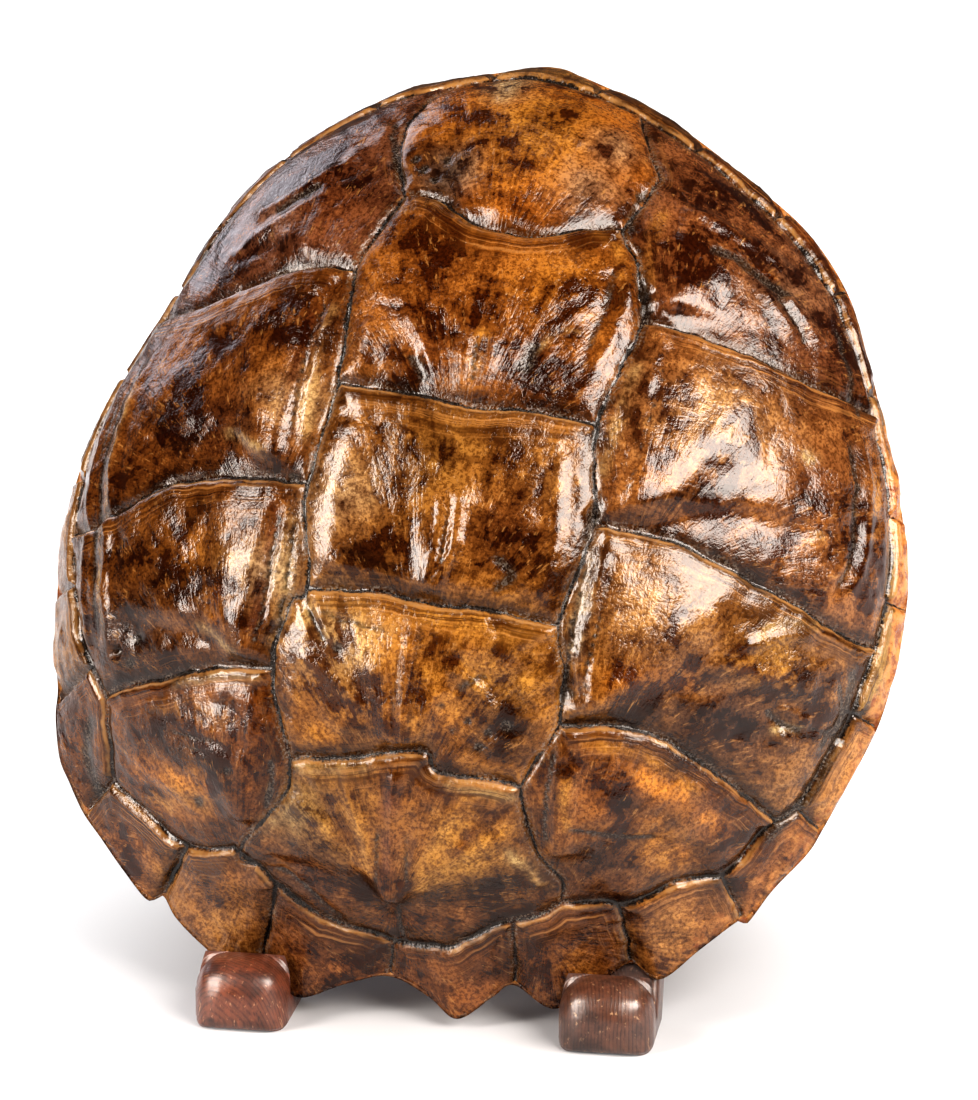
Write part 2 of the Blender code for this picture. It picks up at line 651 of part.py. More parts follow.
def main():
    """Build the shell and its stand."""
    for old in list(bpy.data.objects):
        bpy.data.objects.remove(old, do_unlink=True)
    collection = bpy.data.collections.new("snapping_turtle_shell")
    bpy.context.scene.collection.children.link(collection)
    stand_place = bpy.data.objects.new("stand_place", None)
    collection.objects.link(stand_place)
    add_carapace(collection, stand_place)
    add_arms(collection, stand_place)
    add_rails(collection, stand_place)
    add_leg(collection, stand_place)
    pieces = [piece for piece in collection.objects if piece.type == "MESH"]
    centre_on_floor(stand_place, pieces)


main()
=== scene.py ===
# %% [markdown]
# # A snapping turtle's upper shell in a wooden stand
#
# The shell is bone under plates of horn, the scutes, which have been varnished. It leans back
# against two arms of dark wood, and its tail end lies in the notches behind their rounded toes.
# All of this is in metres, in the frame of the packed solids, so a piece goes where its solid is.

# %% The packed solids
import math

import bmesh
import bpy
import numpy as np
from mathutils import Matrix, Vector, kdtree, noise
from mathutils.geometry import delaunay_2d_cdt


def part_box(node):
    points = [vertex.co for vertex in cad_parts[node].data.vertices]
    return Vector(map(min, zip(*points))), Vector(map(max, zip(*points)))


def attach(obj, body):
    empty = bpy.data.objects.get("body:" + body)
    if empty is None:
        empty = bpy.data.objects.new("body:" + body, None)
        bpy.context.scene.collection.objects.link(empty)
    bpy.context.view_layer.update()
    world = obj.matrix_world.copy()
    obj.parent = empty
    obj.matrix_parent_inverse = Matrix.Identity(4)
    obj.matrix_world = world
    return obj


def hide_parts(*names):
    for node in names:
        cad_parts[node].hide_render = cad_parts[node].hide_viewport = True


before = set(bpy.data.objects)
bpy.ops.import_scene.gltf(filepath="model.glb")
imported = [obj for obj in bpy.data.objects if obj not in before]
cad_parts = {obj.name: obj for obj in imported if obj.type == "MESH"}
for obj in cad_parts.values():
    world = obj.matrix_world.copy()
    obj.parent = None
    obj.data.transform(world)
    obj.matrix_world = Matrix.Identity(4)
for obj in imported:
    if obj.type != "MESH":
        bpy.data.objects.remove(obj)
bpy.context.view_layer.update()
MM = 0.001

# %% [markdown]
# ## Where the shell is
#
# The shell has a frame of its own, in which it is easiest to draw: x to its right, y toward the
# head, z out of the crown, and the rim lies in the plane z = 0. One matrix then leans it back.
# The same numbers as in the solids are used, because the fine shell stands for the solid one.

# %% The frame of the shell
ARM_X, ARM_WIDTH = 64 * MM, 33 * MM
arm_low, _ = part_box("left_arm")
STAND = Vector((arm_low.x + ARM_X + ARM_WIDTH / 2, arm_low.y, 0))
LEAN, ROLL = math.radians(25), math.radians(5)
SHELL_PLACE = STAND + Vector((7.0, 90.8, 160.4)) * MM
SHELL = (Matrix.Translation(SHELL_PLACE) @ Matrix.Rotation(math.radians(90) - LEAN, 4, "X")
         @ Matrix.Rotation(-ROLL, 4, "Z"))
print("foot of the crown's axis:", [round(v / MM, 1) for v in SHELL_PLACE], "mm")

# %% [markdown]
# ## The outline and the seams
#
# The outline and the seams are the shell's signature, so they are drawn point by point, seen from
# above the crown in millimetres. A smooth spline runs through the points.

# %% Outline: the smooth body every 30 degrees, and the real rim with its teeth
BODY_RADII = [152, 148.5, 157, 171, 160, 143, 149, 163, 172, 163.5, 165, 160]
RIM = [
    (0, 171), (21, 166), (40, 158.5), (55, 151), (79, 136), (101, 120), (118, 99), (129, 74),
    (138, 50), (147, 24), (152.5, 0), (152.5, -25), (150, -46), (146, -60), (140, -76), (135, -89),
    (131, -98), (121, -112), (114, -124.5), (111, -124), (99, -136), (87, -148), (76, -144),
    (66, -153), (52, -163.5), (37, -157.5), (30, -163), (19, -172), (8, -166), (-7, -161),
    (-22, -166), (-37, -173), (-47, -168), (-53, -165), (-62, -167), (-75, -160), (-86, -152),
    (-92, -145), (-97, -147.5), (-108, -138), (-118, -128), (-126, -120), (-133, -110),
    (-138, -102), (-142, -88), (-143, -78), (-146, -66), (-148, -54), (-151, -27), (-149.5, 0),
    (-144, 25), (-134, 48), (-124, 71), (-115, 96), (-100, 119), (-80, 138), (-57, 155), (-40, 161),
    (-21, 167),
]
print(len(RIM), "points of the rim")

# %% Seams: the tables
# The border above the marginal scutes, by direction in degrees and share of the way down the side
BORDER = [
    (-160, 0.80), (-145, 0.75), (-140, 0.80), (-136, 0.86), (-130, 0.83), (-122.5, 0.81),
    (-116, 0.74), (-112, 0.75), (-109, 0.78), (-101.5, 0.82), (-92, 0.88), (-84, 0.85), (-77, 0.81),
    (-67.5, 0.77), (-60, 0.80), (-52, 0.82), (-46, 0.86), (-37, 0.85), (-33.5, 0.88), (-24, 0.87),
    (-12, 0.87), (-4, 0.89), (9, 0.91), (22, 0.92), (38, 0.93), (52, 0.92), (66, 0.91), (77, 0.89),
    (90, 0.88), (100, 0.89), (114, 0.91), (129, 0.92), (143, 0.92), (155, 0.91), (168, 0.90),
    (180, 0.88), (190, 0.85),
]
# Seams across the middle row and along its two sides, as points seen from above
CROSS_SEAMS = [
    [(-34, 102), (-23, 102), (-4, 93), (13, 91), (32, 98), (43, 99)],
    [(-42, 30), (-22, 30), (-1, 27), (29, 28), (48, 27)],
    [(-40, -41), (-18, -39), (3, -41), (20, -40), (45, -42)],
    [(-41, -96), (-22, -94), (-8, -90), (6, -89), (10, -94), (32, -94), (38, -95)],
]
LONG_SEAMS = [
    [(-34, 102), (-44, 72), (-42, 30), (-46, -6), (-40, -41), (-46, -46), (-50, -69), (-41, -96)],
    [(43, 99), (52, 83), (56, 66), (48, 27), (52, -7), (45, -42), (49, -58), (48, -74), (38, -95)],
]
# Seams that end on the border: their points, and the direction of their end in degrees
SIDE_CROSS_SEAMS = [
    ([(-44, 72), (-63, 72), (-85, 65), (-109, 58)], 155.3),
    ([(-46, -6), (-66, -5), (-95, -8), (-113, -15), (-129, -23)], -170.5),
    ([(-50, -69), (-68, -69), (-90, -74), (-109, -78)], -145),
    ([(56, 66), (69, 66), (88, 63), (108, 59)], 22.4),
    ([(52, -7), (74, -7), (94, -12), (114, -18), (134, -25)], -10),
    ([(48, -74), (65, -71), (82, -72), (102, -80)], -36.7),
]
END_LONG_SEAMS = [
    ([(-34, 102), (-41, 121), (-42, 134), (-38, 148)], 100.5),
    ([(43, 99), (46, 108), (50, 123), (46, 133)], 76.7),
    ([(-41, -96), (-43, -108), (-56, -122), (-59, -130)], -112.3),
    ([(38, -95), (40, -103), (46, -116), (53, -122)], -67.5),
]
# Seams between the marginal scutes: directions of the upper and the lower end in degrees
MARGINAL_SEAMS = [
    (83, 83), (68, 68), (54, 54), (41, 41), (26, 26), (8.5, 8.5), (-3.4, -3.4), (-19, -19),
    (-33.5, -33.5), (-46.5, -47.9), (-60.4, -62.2), (-75, -76.8), (-92, -92.5), (-109, -107.8),
    (-122.5, -122.4), (-136.3, -136.3), (-150, -150), (-163, -163), (-179, -179), (165, 165),
    (150, 150), (139, 139), (126, 126), (112, 112), (97, 97),
]
print(len(MARGINAL_SEAMS), "marginal scutes")


# %% [markdown]
# ## The dome
#
# A turtle's back is flat at the crown and steep at the flanks. Each direction from the crown gets
# an arc that has turned down by a set angle at the rim. The surface is drawn on a flat map first,
# where a point keeps its direction and its share of the way down the side. That is why the seams
# and the fine lattice between them can be triangulated in the plane and then lifted.

# %% Curves and directions
def spline(points, step, closed=False):
    """A smooth curve through the points, with a point about every step."""
    points = np.asarray(points, float)
    count = len(points)

    def point(i):
        return points[i % count] if closed else points[min(max(i, 0), count - 1)]

    curve = []
    for i in range(count if closed else count - 1):
        a, b, c, d = point(i - 1), point(i), point(i + 1), point(i + 2)
        pieces = max(1, round(float(np.linalg.norm(c - b)) / step))
        for t in np.arange(pieces) / pieces:
            bend = (2 * a - 5 * b + 4 * c - d) * t ** 2 + (3 * b - a - 3 * c + d) * t ** 3
            curve.append(0.5 * (2 * b + (c - a) * t + bend))
    if not closed:
        curve.append(points[-1])
    return np.array(curve)


def directions(degrees):
    """Unit vectors in the rim's plane."""
    angle = np.radians(degrees)
    return np.stack([np.cos(angle), np.sin(angle)], -1)


def radius_by_angle(outline):
    """The distance from the crown's axis to a closed outline, as a function of direction."""
    loop = spline(outline, MM, closed=True)
    angle = np.arctan2(loop[:, 1], loop[:, 0])
    order = np.argsort(angle)
    radius = np.hypot(loop[:, 0], loop[:, 1])[order]
    return lambda at: np.interp(at, angle[order], radius, period=2 * math.pi)


body_points = directions(np.arange(0, 360, 30)) * np.array(BODY_RADII)[:, None]
body_radius = radius_by_angle(body_points * MM)
rim_radius = radius_by_angle(np.array(RIM) * MM)
shell_length = float(rim_radius(math.pi / 2) + rim_radius(-math.pi / 2))
print("the shell is", round(shell_length / MM), "mm long")

# %% Lifting the map onto the dome
CROWN_HEIGHT = 88 * MM
FLANK_ANGLE, HEAD_ANGLE, TAIL_ANGLE = (math.radians(a) for a in (82, 76, 62))
FLARE, FLARE_POWER, TOOTH_POWER = 3 * MM, 6, 8
WALL_CROWN, WALL_RIM = 5.5 * MM, 9 * MM


def down_the_side(points):
    """The share of the way from the crown to the smooth rim, for points of the map."""
    return np.hypot(*points.T) / body_radius(np.arctan2(points[:, 1], points[:, 0]))


def side_angle(angle):
    """How far the dome has turned down at the rim, by direction."""
    head, tail = np.clip(np.sin(angle), 0, 1) ** 2, np.clip(-np.sin(angle), 0, 1) ** 2
    return FLANK_ANGLE * (1 - head - tail) + HEAD_ANGLE * head + TAIL_ANGLE * tail


def to_map(plan):
    """Points seen from above the crown, brought to the flat map."""
    plan = np.atleast_2d(plan)
    angle = np.arctan2(plan[:, 1], plan[:, 0])
    side, body = side_angle(angle), body_radius(angle)
    reach = np.hypot(plan[:, 0], plan[:, 1]) / body
    share = np.arcsin(np.clip(reach * np.sin(side), 0, 1)) / side
    return (share * body)[:, None] * np.stack([np.cos(angle), np.sin(angle)], -1)


def lift(points, inside=False):
    """Points of the map carried up onto the dome's outer surface, or its inner one."""
    angle = np.arctan2(points[:, 1], points[:, 0])
    side, body, share = side_angle(angle), body_radius(angle), down_the_side(points)
    if inside:
        reach = (body - WALL_RIM) * np.sin(side * share) / np.sin(side)
    else:
        reach = body * np.sin(side * share) / np.sin(side)
        reach = reach + (rim_radius(angle) - body) * share ** TOOTH_POWER
    height = CROWN_HEIGHT - (WALL_CROWN if inside else 0)
    up = height * (np.cos(side * share) - np.cos(side)) / (1 - np.cos(side))
    deepest = FLARE_POWER ** FLARE_POWER / (FLARE_POWER + 1) ** (FLARE_POWER + 1)
    up = up - FLARE * (1 - np.sin(angle)) * (1 - share) * share ** FLARE_POWER / deepest
    return np.stack([reach * np.cos(angle), reach * np.sin(angle), up], -1)


def normals(points, inside=False):
    """Outward unit normals of the dome at points of the map."""
    small = 0.5 * MM
    along_x = lift(points + [small, 0], inside) - lift(points - [small, 0], inside)
    along_y = lift(points + [0, small], inside) - lift(points - [0, small], inside)
    normal = np.cross(along_x, along_y)
    return normal / np.linalg.norm(normal, axis=1)[:, None]


print("crown at", np.round(lift(np.array([[0.0, 1e-6]]))[0] / MM, 1), "mm")

# %% [markdown]
# ## The seams on the map
#
# No seam on a grown thing is a clean curve, so every seam wanders a little with a noise that
# depends on the place alone. Seams that meet still meet. Each cross seam remembers which way the
# tail lies, because there the young horn stands up in a pale lip.

# %% Seams as wandering curves
# Without a seed, noise vectors start from the clock, and the seams wander otherwise in each run
noise.seed_set(3)
SEAM_STEP = 1.15 * MM


def wander(points):
    """Points of the map shifted by a small noise, which dies out at the rim."""
    still = np.clip((1 - down_the_side(points)) / 0.06, 0, 1)
    shift = [0.8 * noise.noise_vector(Vector((x, y, 0)) / (11 * MM)).xy
             + 0.45 * noise.noise_vector(Vector((x, y, 5 * MM)) / (3.5 * MM)).xy
             for x, y in points]
    return points + MM * still[:, None] * np.array(shift)


def on_border(degrees):
    """Map points on the seam above the marginal scutes."""
    table = np.array(BORDER)
    share = np.interp(degrees, table[:, 0], table[:, 1], period=360)
    return np.asarray(share * body_radius(np.radians(degrees)))[..., None] * directions(degrees)


def stations(fixed, step):
    """Directions all round, in degrees: the fixed ones, and others between them."""
    fixed = np.unique(np.asarray(fixed, float) % 360)
    result = []
    for start, end in zip(fixed, np.append(fixed[1:], fixed[0] + 360)):
        length = math.radians(end - start) * float(body_radius(math.radians(start)))
        pieces = max(1, round(length / step))
        result.extend(start + (end - start) * np.arange(pieces) / pieces)
    return np.array(result)


def seam_network():
    """The seams on the map, each with the way on which its young horn lies: tail, out or none."""
    tail, none = (0, -1), (0, 0)
    drawn = [(to_map(np.array(s) * MM), tail) for s in CROSS_SEAMS]
    drawn += [(to_map(np.array(s) * MM), none) for s in LONG_SEAMS]
    for seams, side in ((SIDE_CROSS_SEAMS, tail), (END_LONG_SEAMS, none)):
        for plan, end in seams:
            drawn.append((np.vstack([to_map(np.array(plan) * MM), on_border(end)]), side))
    for top, bottom in MARGINAL_SEAMS:
        at_rim = body_radius(math.radians(bottom)) * directions(bottom)
        drawn.append((np.array([on_border(top), at_rim]), tail))
    curves = [(wander(spline(points, SEAM_STEP)), side) for points, side in drawn]
    ends = [end for _, end in SIDE_CROSS_SEAMS + END_LONG_SEAMS]
    ends += [top for top, _ in MARGINAL_SEAMS]
    border = wander(on_border(stations(ends, SEAM_STEP)))
    return curves + [(np.vstack([border, border[:1]]), None)]


SEAMS = seam_network()
print(len(SEAMS), "seams with", sum(len(c) for c, _ in SEAMS), "points")

# %% How far a point is from the nearest seam, and on which side of it
seam_points, seam_sides = [], []
for curve, side in SEAMS:
    for a, b in zip(curve[:-1], curve[1:]):
        for t in (0, 0.2, 0.4, 0.6, 0.8):
            spot = a + (b - a) * t
            seam_points.append(spot)
            seam_sides.append(spot / np.linalg.norm(spot) if side is None else side)
seam_sides = np.array(seam_sides, float)
seam_tree = kdtree.KDTree(len(seam_points))
for i, spot in enumerate(seam_points):
    seam_tree.insert((*spot, 0), i)
seam_tree.balance()


def seam_reading(points):
    """For map points: distance to the nearest seam, and how squarely they lie on its young side."""
    found = [seam_tree.find((x, y, 0)) for x, y in points]
    distance = np.array([d for _, _, d in found])
    nearest = np.array([i for _, i, _ in found])
    spots = np.array(seam_points)[nearest]
    way = (points - spots) / np.maximum(distance, 0.05 * MM)[:, None]
    return distance, np.clip((way * seam_sides[nearest]).sum(1), -1, 1)


print("seam tree:", len(seam_points), "points")

# %% [markdown]
# ## The relief of the horn
#
# Seven things make the surface: the groove of each seam, the lip of young horn on its tail side,
# the pillow of each scute, the keels, the folds that run out from them, ridges and creases, and
# the lumps and scars of a long life. Each keel is a knob with a sharp end toward the tail and a
# flat top that widens toward the head, like a tent. They are written as height fields that add
# up, because then each can be tuned alone.

# %% Knobs and folds
# Tip of each knob: x, y, rise, reach toward the head, widening of its flat top, side; millimetres
KNOBS = [
    (4, 95, 1.0, 20, 0.30, 0), (5, 30, 1.2, 20, 0.22, 0), (3, -38, 1.6, 24, 0.20, 0),
    (-2, -88, 3.4, 30, 0.45, 0), (-4, -134, 3.6, 26, 0.40, 0), (-64, 77, 2.0, 26, 0.5, -1),
    (-58, 1, 3.4, 46, 0.32, -1), (-59, -65, 3.8, 56, 0.26, -1), (-56, -116, 3.2, 32, 0.4, -1),
    (64, 74, 2.2, 28, 0.6, 1), (63, -1, 3.2, 46, 0.70, 1), (58, -68, 3.8, 48, 0.75, 1),
    (50, -112, 3.2, 30, 0.6, 1),
]
# Folds, from the knob outward: points, drop on the tail side; millimetres
FOLDS = [
    ([(-57, 1), (-66, 3), (-75, 10), (-90, 13), (-112, 8)], 2.8),
    ([(-58, -66), (-66, -62), (-80, -57), (-95, -55), (-112, -54)], 3.2),
    ([(-57, -116), (-66, -112), (-80, -112), (-98, -106)], 1.8),
    ([(-60, 76), (-75, 80), (-92, 84)], 1.6), ([(64, 73), (80, 72), (95, 76), (114, 70)], 2.2),
    ([(60, -2), (75, 2), (88, 5), (100, 8), (120, 8)], 3.0),
    ([(56, -69), (66, -62), (75, -55), (85, -51), (100, -48), (128, -50)], 3.2),
    ([(49, -115), (60, -110), (75, -104), (98, -102)], 2.2),
    ([(-4, -135), (-12, -131), (-25, -129), (-46, -127)], 2.6),
    ([(-4, -135), (10, -131), (25, -126), (43, -122)], 2.6), ([(-32, 37), (4, 30), (38, 36)], 0.8),
    ([(-32, -33), (3, -38), (38, -32)], 0.9), ([(-32, -82), (-2, -88), (28, -76)], 1.3),
]


def knob_height(plan):
    """The tents of the keels, in millimetres, at points seen from above in millimetres."""
    height = np.zeros(len(plan))
    for x, y, rise, reach, widening, side in KNOBS:
        ahead = plan[:, 1] - y
        aside = (plan[:, 0] - x) * side if side else np.abs(plan[:, 0] - x)
        top = widening * np.clip(ahead, 0, None) + 1.2
        behind = np.exp(np.clip(ahead, -60, 0) / 2.0)
        before = np.exp(-(np.clip(ahead, 0, None) / reach) ** 1.6)
        along = np.where(ahead > 0, before, behind)
        outer = np.exp(-(np.clip(aside - top, 0, None) / (9 if side else 4.5)) ** 2)
        height += rise * along * outer * np.exp(-(np.clip(aside, None, 0) / 3.2) ** 2)
    return height


def fold_height(plan):
    """The drop behind each fold, in millimetres."""
    height = np.zeros(len(plan))
    for line, drop in FOLDS:
        spots = np.array(sorted(line), float)
        behind = np.interp(plan[:, 0], spots[:, 0], spots[:, 1]) - plan[:, 1]
        outside = np.maximum(spots[0, 0] - plan[:, 0], plan[:, 0] - spots[-1, 0])
        ends = 1 / (1 + np.exp(np.clip(outside, -40, 40) / 1.8))
        step = 1 / (1 + np.exp(-np.clip(behind, -30, 30) / 1.5))
        height -= drop * step * ends * np.exp(-np.clip(behind, 0, None) / 13)
        height += 0.25 * drop * (1 - step) * ends * np.exp(np.clip(behind, -60, 0) / 6)
    return height


print(len(KNOBS), "knobs and", len(FOLDS), "folds")

# %% Ridges and creases: the table
# Points, height, which is below zero for a crease, and half-width; millimetres
RIDGES = [
    # bands beside the long seams
    ([(62, 58), (60, 40), (59, 20), (57, 5)], 0.7, 1.9),
    ([(66, 54), (64, 35), (62, 15), (60, 3)], -0.7, 0.8),
    ([(57, -14), (55, -30), (53, -48), (53, -60)], 1.3, 1.8),
    ([(60, -16), (58, -35), (56, -50), (56, -65)], -0.9, 0.8),
    ([(52, -20), (50, -40), (50, -60)], -1.3, 0.9), ([(48, -80), (47, -95), (47, -112)], -1.2, 1.1),
    ([(54, -84), (53, -98), (54, -110)], 1.0, 1.8),
    ([(-48, 66), (-50, 45), (-51, 20), (-49, 3)], 1.0, 1.6),
    ([(-52, 62), (-54, 42), (-55, 20), (-55, 6)], -0.8, 1.0),
    ([(-54, -14), (-54, -35), (-56, -62)], -1.0, 1.0),
    ([(-51, -14), (-51, -35), (-53, -60)], 1.2, 1.2),
    ([(-48, -18), (-48, -35), (-50, -58)], -1.3, 0.9),
    ([(-48, -96), (-47, -104), (-50, -114)], -1.1, 1.4),
    # the middle row
    ([(0, 54), (1, 42), (1, 32)], 1.2, 1.5), ([(8, 52), (9, 42), (7, 32)], 1.1, 1.6),
    ([(4, 50), (5, 34)], -0.9, 1.2), ([(-22, 57), (-14, 46), (-8, 36)], 1.6, 2.2),
    ([(-18, 42), (-10, 33)], -1.2, 2.2), ([(-34, 52), (-35, 34)], 1.0, 2.8),
    ([(48, 86), (49, 70), (47, 56), (43, 42), (40, 32)], 1.3, 2.4),
    ([(43, 84), (43, 68), (40, 50)], -0.7, 2.0), ([(26, 56), (32, 62), (38, 66)], 0.7, 1.2),
    ([(24, 52), (20, 40)], -1.0, 3.0), ([(7, -3), (8, -18), (5, -30), (2, -38)], 1.6, 1.5),
    ([(2, -6), (2, -22), (-1, -36)], 1.0, 1.2), ([(4, -8), (4, -28)], -1.0, 0.8),
    ([(38, 16), (39, 0), (40, -20), (36, -36)], 1.2, 2.6),
    ([(20, -22), (28, -27), (22, -34)], -0.9, 2.4), ([(-21, 18), (-22, -14)], -0.4, 5.0),
    ([(-12, -6), (-12, -26)], 0.6, 1.6), ([(-33, 18), (-34, 0), (-35, -34)], 1.0, 6.5),
    ([(-2, -46), (-3, -65), (-1, -87)], 1.0, 1.5), ([(-6, -56), (-6, -82)], -0.6, 1.0),
    ([(-41, -43), (-37, -50), (-31, -58)], -1.5, 0.9),
    ([(-39, -42), (-34, -49), (-28, -57)], 0.9, 1.2),
    ([(-38, -47), (-24, -50), (-10, -52)], -0.7, 1.4),
    ([(-40, -62), (-28, -68), (-14, -78)], 1.0, 2.6), ([(12, -60), (22, -66), (27, -72)], 1.2, 2.0),
    ([(14, -68), (24, -60)], -0.7, 1.8), ([(-4, -93), (-4, -115), (-4, -134)], 1.6, 2.2),
    ([(-4, -134), (-22, -118), (-42, -108)], 1.4, 3.0),
    ([(-4, -134), (-14, -115), (-22, -102)], 1.0, 2.2),
    ([(-4, -134), (16, -118), (38, -110)], 1.4, 3.0),
    ([(-4, -134), (8, -115), (18, -102)], 1.0, 2.2), ([(-9, -132), (-9, -112)], -0.8, 1.2),
    ([(2, -132), (1, -112)], -0.7, 1.2), ([(-3, -137), (-2, -150)], -1.2, 1.0),
    ([(36, -112), (46, -124)], 0.9, 1.2),
    # the shoulders
    ([(-88, 91), (-70, 103), (-54, 119)], 1.5, 2.8), ([(-94, 76), (-78, 88), (-66, 96)], 1.1, 2.2),
    ([(-80, 92), (-64, 104)], -0.9, 2.0), ([(58, 112), (72, 108), (88, 102), (99, 96)], 1.4, 2.6),
    ([(90, 86), (98, 78), (104, 71)], 1.2, 1.6), ([(97, 87), (106, 79), (113, 72)], 1.4, 1.8),
    ([(94, 86), (102, 79), (108, 71)], -0.9, 1.2), ([(70, 98), (84, 94), (100, 86)], -1.0, 2.4),
    # lengthwise growth ridges on the flanks
    ([(-116, 46), (-122, 25), (-124, 0), (-121, -30), (-115, -60), (-110, -76)], 1.1, 1.6),
    ([(-122, 46), (-127, 22), (-129, -2), (-126, -34), (-119, -66)], -0.9, 1.3),
    ([(-126, 44), (-132, 20), (-134, -5), (-130, -40), (-123, -72)], 1.0, 1.4),
    ([(130, 44), (135, 25), (137, 5), (134, -14)], 1.0, 1.3),
    ([(126, 44), (131, 25), (133, 5), (130, -14)], -0.8, 1.2),
    ([(118, 88), (127, 68), (134, 48)], 1.0, 1.4), ([(114, 84), (123, 66), (129, 50)], -0.8, 1.2),
    ([(135, -40), (137, -52), (130, -66)], -0.9, 1.2),
    ([(124, -28), (114, -32), (104, -37)], 1.1, 1.5),
    # cracks full of dirt
    ([(-122, -86), (-124, -102), (-118, -116)], -0.9, 3.2),
    ([(140, -30), (137, -58), (128, -82), (114, -100)], -0.8, 2.4),
    ([(-47, 138), (-45, 127), (-41, 117), (-34, 106)], -0.9, 1.8),
    ([(47, 120), (45, 108), (46, 98)], -0.8, 1.8), ([(54, 2), (51, -6), (50, -14)], -0.9, 2.2),
    ([(52, 84), (56, 74), (57, 64)], -0.9, 2.2), ([(50, -56), (50, -68)], -0.9, 2.0),
    ([(-126, 44), (-130, 24), (-132, 0)], -0.7, 1.4),
    # scars
    ([(118, -55), (122, -54.5), (127, -57)], 1.6, 1.2),
    ([(127, -58), (134, -58), (141, -60)], -1.0, 0.8),
    ([(114, -56), (119, -58), (126, -60)], -1.2, 1.4), ([(119, -62), (122, -66)], 1.0, 1.8),
    ([(-86, -90), (-75, -92), (-64, -93)], -0.8, 1.2), ([(-82, -94), (-70, -96)], -0.7, 1.0),
    ([(52, -103), (70, -104), (84, -101)], -0.9, 1.2),
    ([(-48, -131), (-36, -136), (-22, -146)], -0.9, 1.2),
]
print(len(RIDGES), "ridges and creases")

# %% Swellings, calm places and pits: the tables
# Low swellings and hollows: x, y, height, reach across, reach along; millimetres
SWELLS = [
    (-97, 28, -1.4, 17, 26), (-98, -32, -1.2, 17, 24), (88, 32, 1.2, 24, 24),
    (86, -32, 1.2, 22, 20), (-84, -96, 1.4, 18, 14), (80, -92, 1.6, 20, 12), (30, -66, -1.1, 12, 9),
    (20, -52, 1.1, 9, 9), (24, 128, 1.6, 14, 12), (-24, 116, -1.6, 9, 10), (34, 112, 1.2, 12, 9),
    (32, 134, 1.3, 8, 7), (-30, -118, 1.2, 12, 8), (28, -118, 1.2, 12, 8), (112, -64, -1.4, 8, 9),
    (-12, -64, 1.3, 4.2, 2.6), (60, 100, 1.2, 12, 14), (100, 84, 1.2, 14, 16),
    (-92, 84, 1.2, 14, 16), (-76, -64, 1.3, 12, 4), (-28, 66, 1.2, 10, 16), (26, 74, 1.0, 12, 12),
    (18, -8, -0.9, 10, 16), (-10, -15, -0.7, 6, 16), (-85, -118, -1.2, 12, 6),
    (74, -118, 1.2, 12, 6), (100, -80, -1.2, 16, 7), (104, -16, -1.0, 18, 7),
]
# Places rubbed smooth, where the lumps are faint: x, y, reach
CALM = [
    (84, 32, 26), (82, -26, 22), (-28, 4, 12), (-28, -58, 14), (-54, 24, 12), (-54, -36, 12),
    (-88, 110, 22),
]
# Pits and holes: x, y, radius, depth; millimetres
PITS = [
    (-112, -66, 1.7, 4.6), (55, 77, 2.3, 3.6), (57, 71, 2.6, 2.2), (46, 115, 2.4, 1.8),
    (32, -76, 2.6, 1.2), (26, -79, 2.0, 1.1), (19, -76, 1.8, 1.0), (23, -84, 2.0, 1.0),
    (14, -80, 1.6, 0.9), (-27, -59, 2.2, 1.3), (-104, -62, 2.6, 1.0), (-106, -70, 2.2, 0.9),
    (-30, 114, 2.4, 1.4), (-25, 110, 2.0, 1.2), (-22, 118, 2.0, 1.1), (-34, 118, 2.2, 1.2),
    (-62, -101, 1.8, 0.8), (-75, -113, 2.4, 0.9), (10, -72, 1.6, 0.7), (52, -5, 3.0, 1.6),
    (51, -63, 2.6, 1.6), (-52, -4, 2.4, 1.4), (82, 68, 1.6, 0.8),
]
print(len(SWELLS), "swellings and hollows,", len(PITS), "pits")


# %% Heights near a line or a place
def near_line(plan, line, half_width):
    """Which points lie near a line that wavers a little, and a bump from one on it to nothing."""
    spots = spline(np.array(line, float), 0.8)
    waver = [noise.noise_vector(Vector((x, y, 7)) / 6).xy for x, y in spots]
    spots = spots + 0.9 * np.array(waver)
    reach = np.ptp(spots, axis=0) / 2 + 3 * half_width
    near = np.flatnonzero((np.abs(plan - (spots.min(0) + spots.max(0)) / 2) < reach).all(1))
    away = np.linalg.norm(plan[near][:, None] - spots[None], axis=2)
    run = away.argmin(1) / (len(spots) - 1)
    ends = np.clip(np.minimum(run, 1 - run) / 0.12, 0.15, 1)
    return near, ends * np.exp(-(away.min(1) / half_width) ** 2)


def ridge_height(plan):
    """Ridges and creases, in millimetres, and how much grime lies in the creases."""
    height, grime = np.zeros(len(plan)), np.zeros(len(plan))
    for line, rise, half_width in RIDGES:
        near, bump = near_line(plan, line, half_width)
        height[near] += rise * bump
        if rise < 0:
            grime[near] = np.maximum(grime[near], min(-rise, 1) * bump)
    return height, grime


def pit_height(plan):
    """Swellings and pits, in millimetres, and how much grime lies in the pits."""
    height, grime = np.zeros(len(plan)), np.zeros(len(plan))
    for x, y, rise, across, along in SWELLS:
        away = ((plan[:, 0] - x) / across) ** 2, ((plan[:, 1] - y) / along) ** 2
        height += rise * np.exp(-away[0] - away[1])
    for x, y, radius, depth in PITS:
        bump = np.exp(-(np.hypot(plan[:, 0] - x, plan[:, 1] - y) / radius) ** 3)
        height -= depth * bump
        grime = np.maximum(grime, min(depth, 1) * bump)
    return height, grime


probe, _ = ridge_height(np.array([(-4.0, -115.0), (57.0, -40.0)]))
print("on a ridge and in a crease:", np.round(probe, 1), "mm")


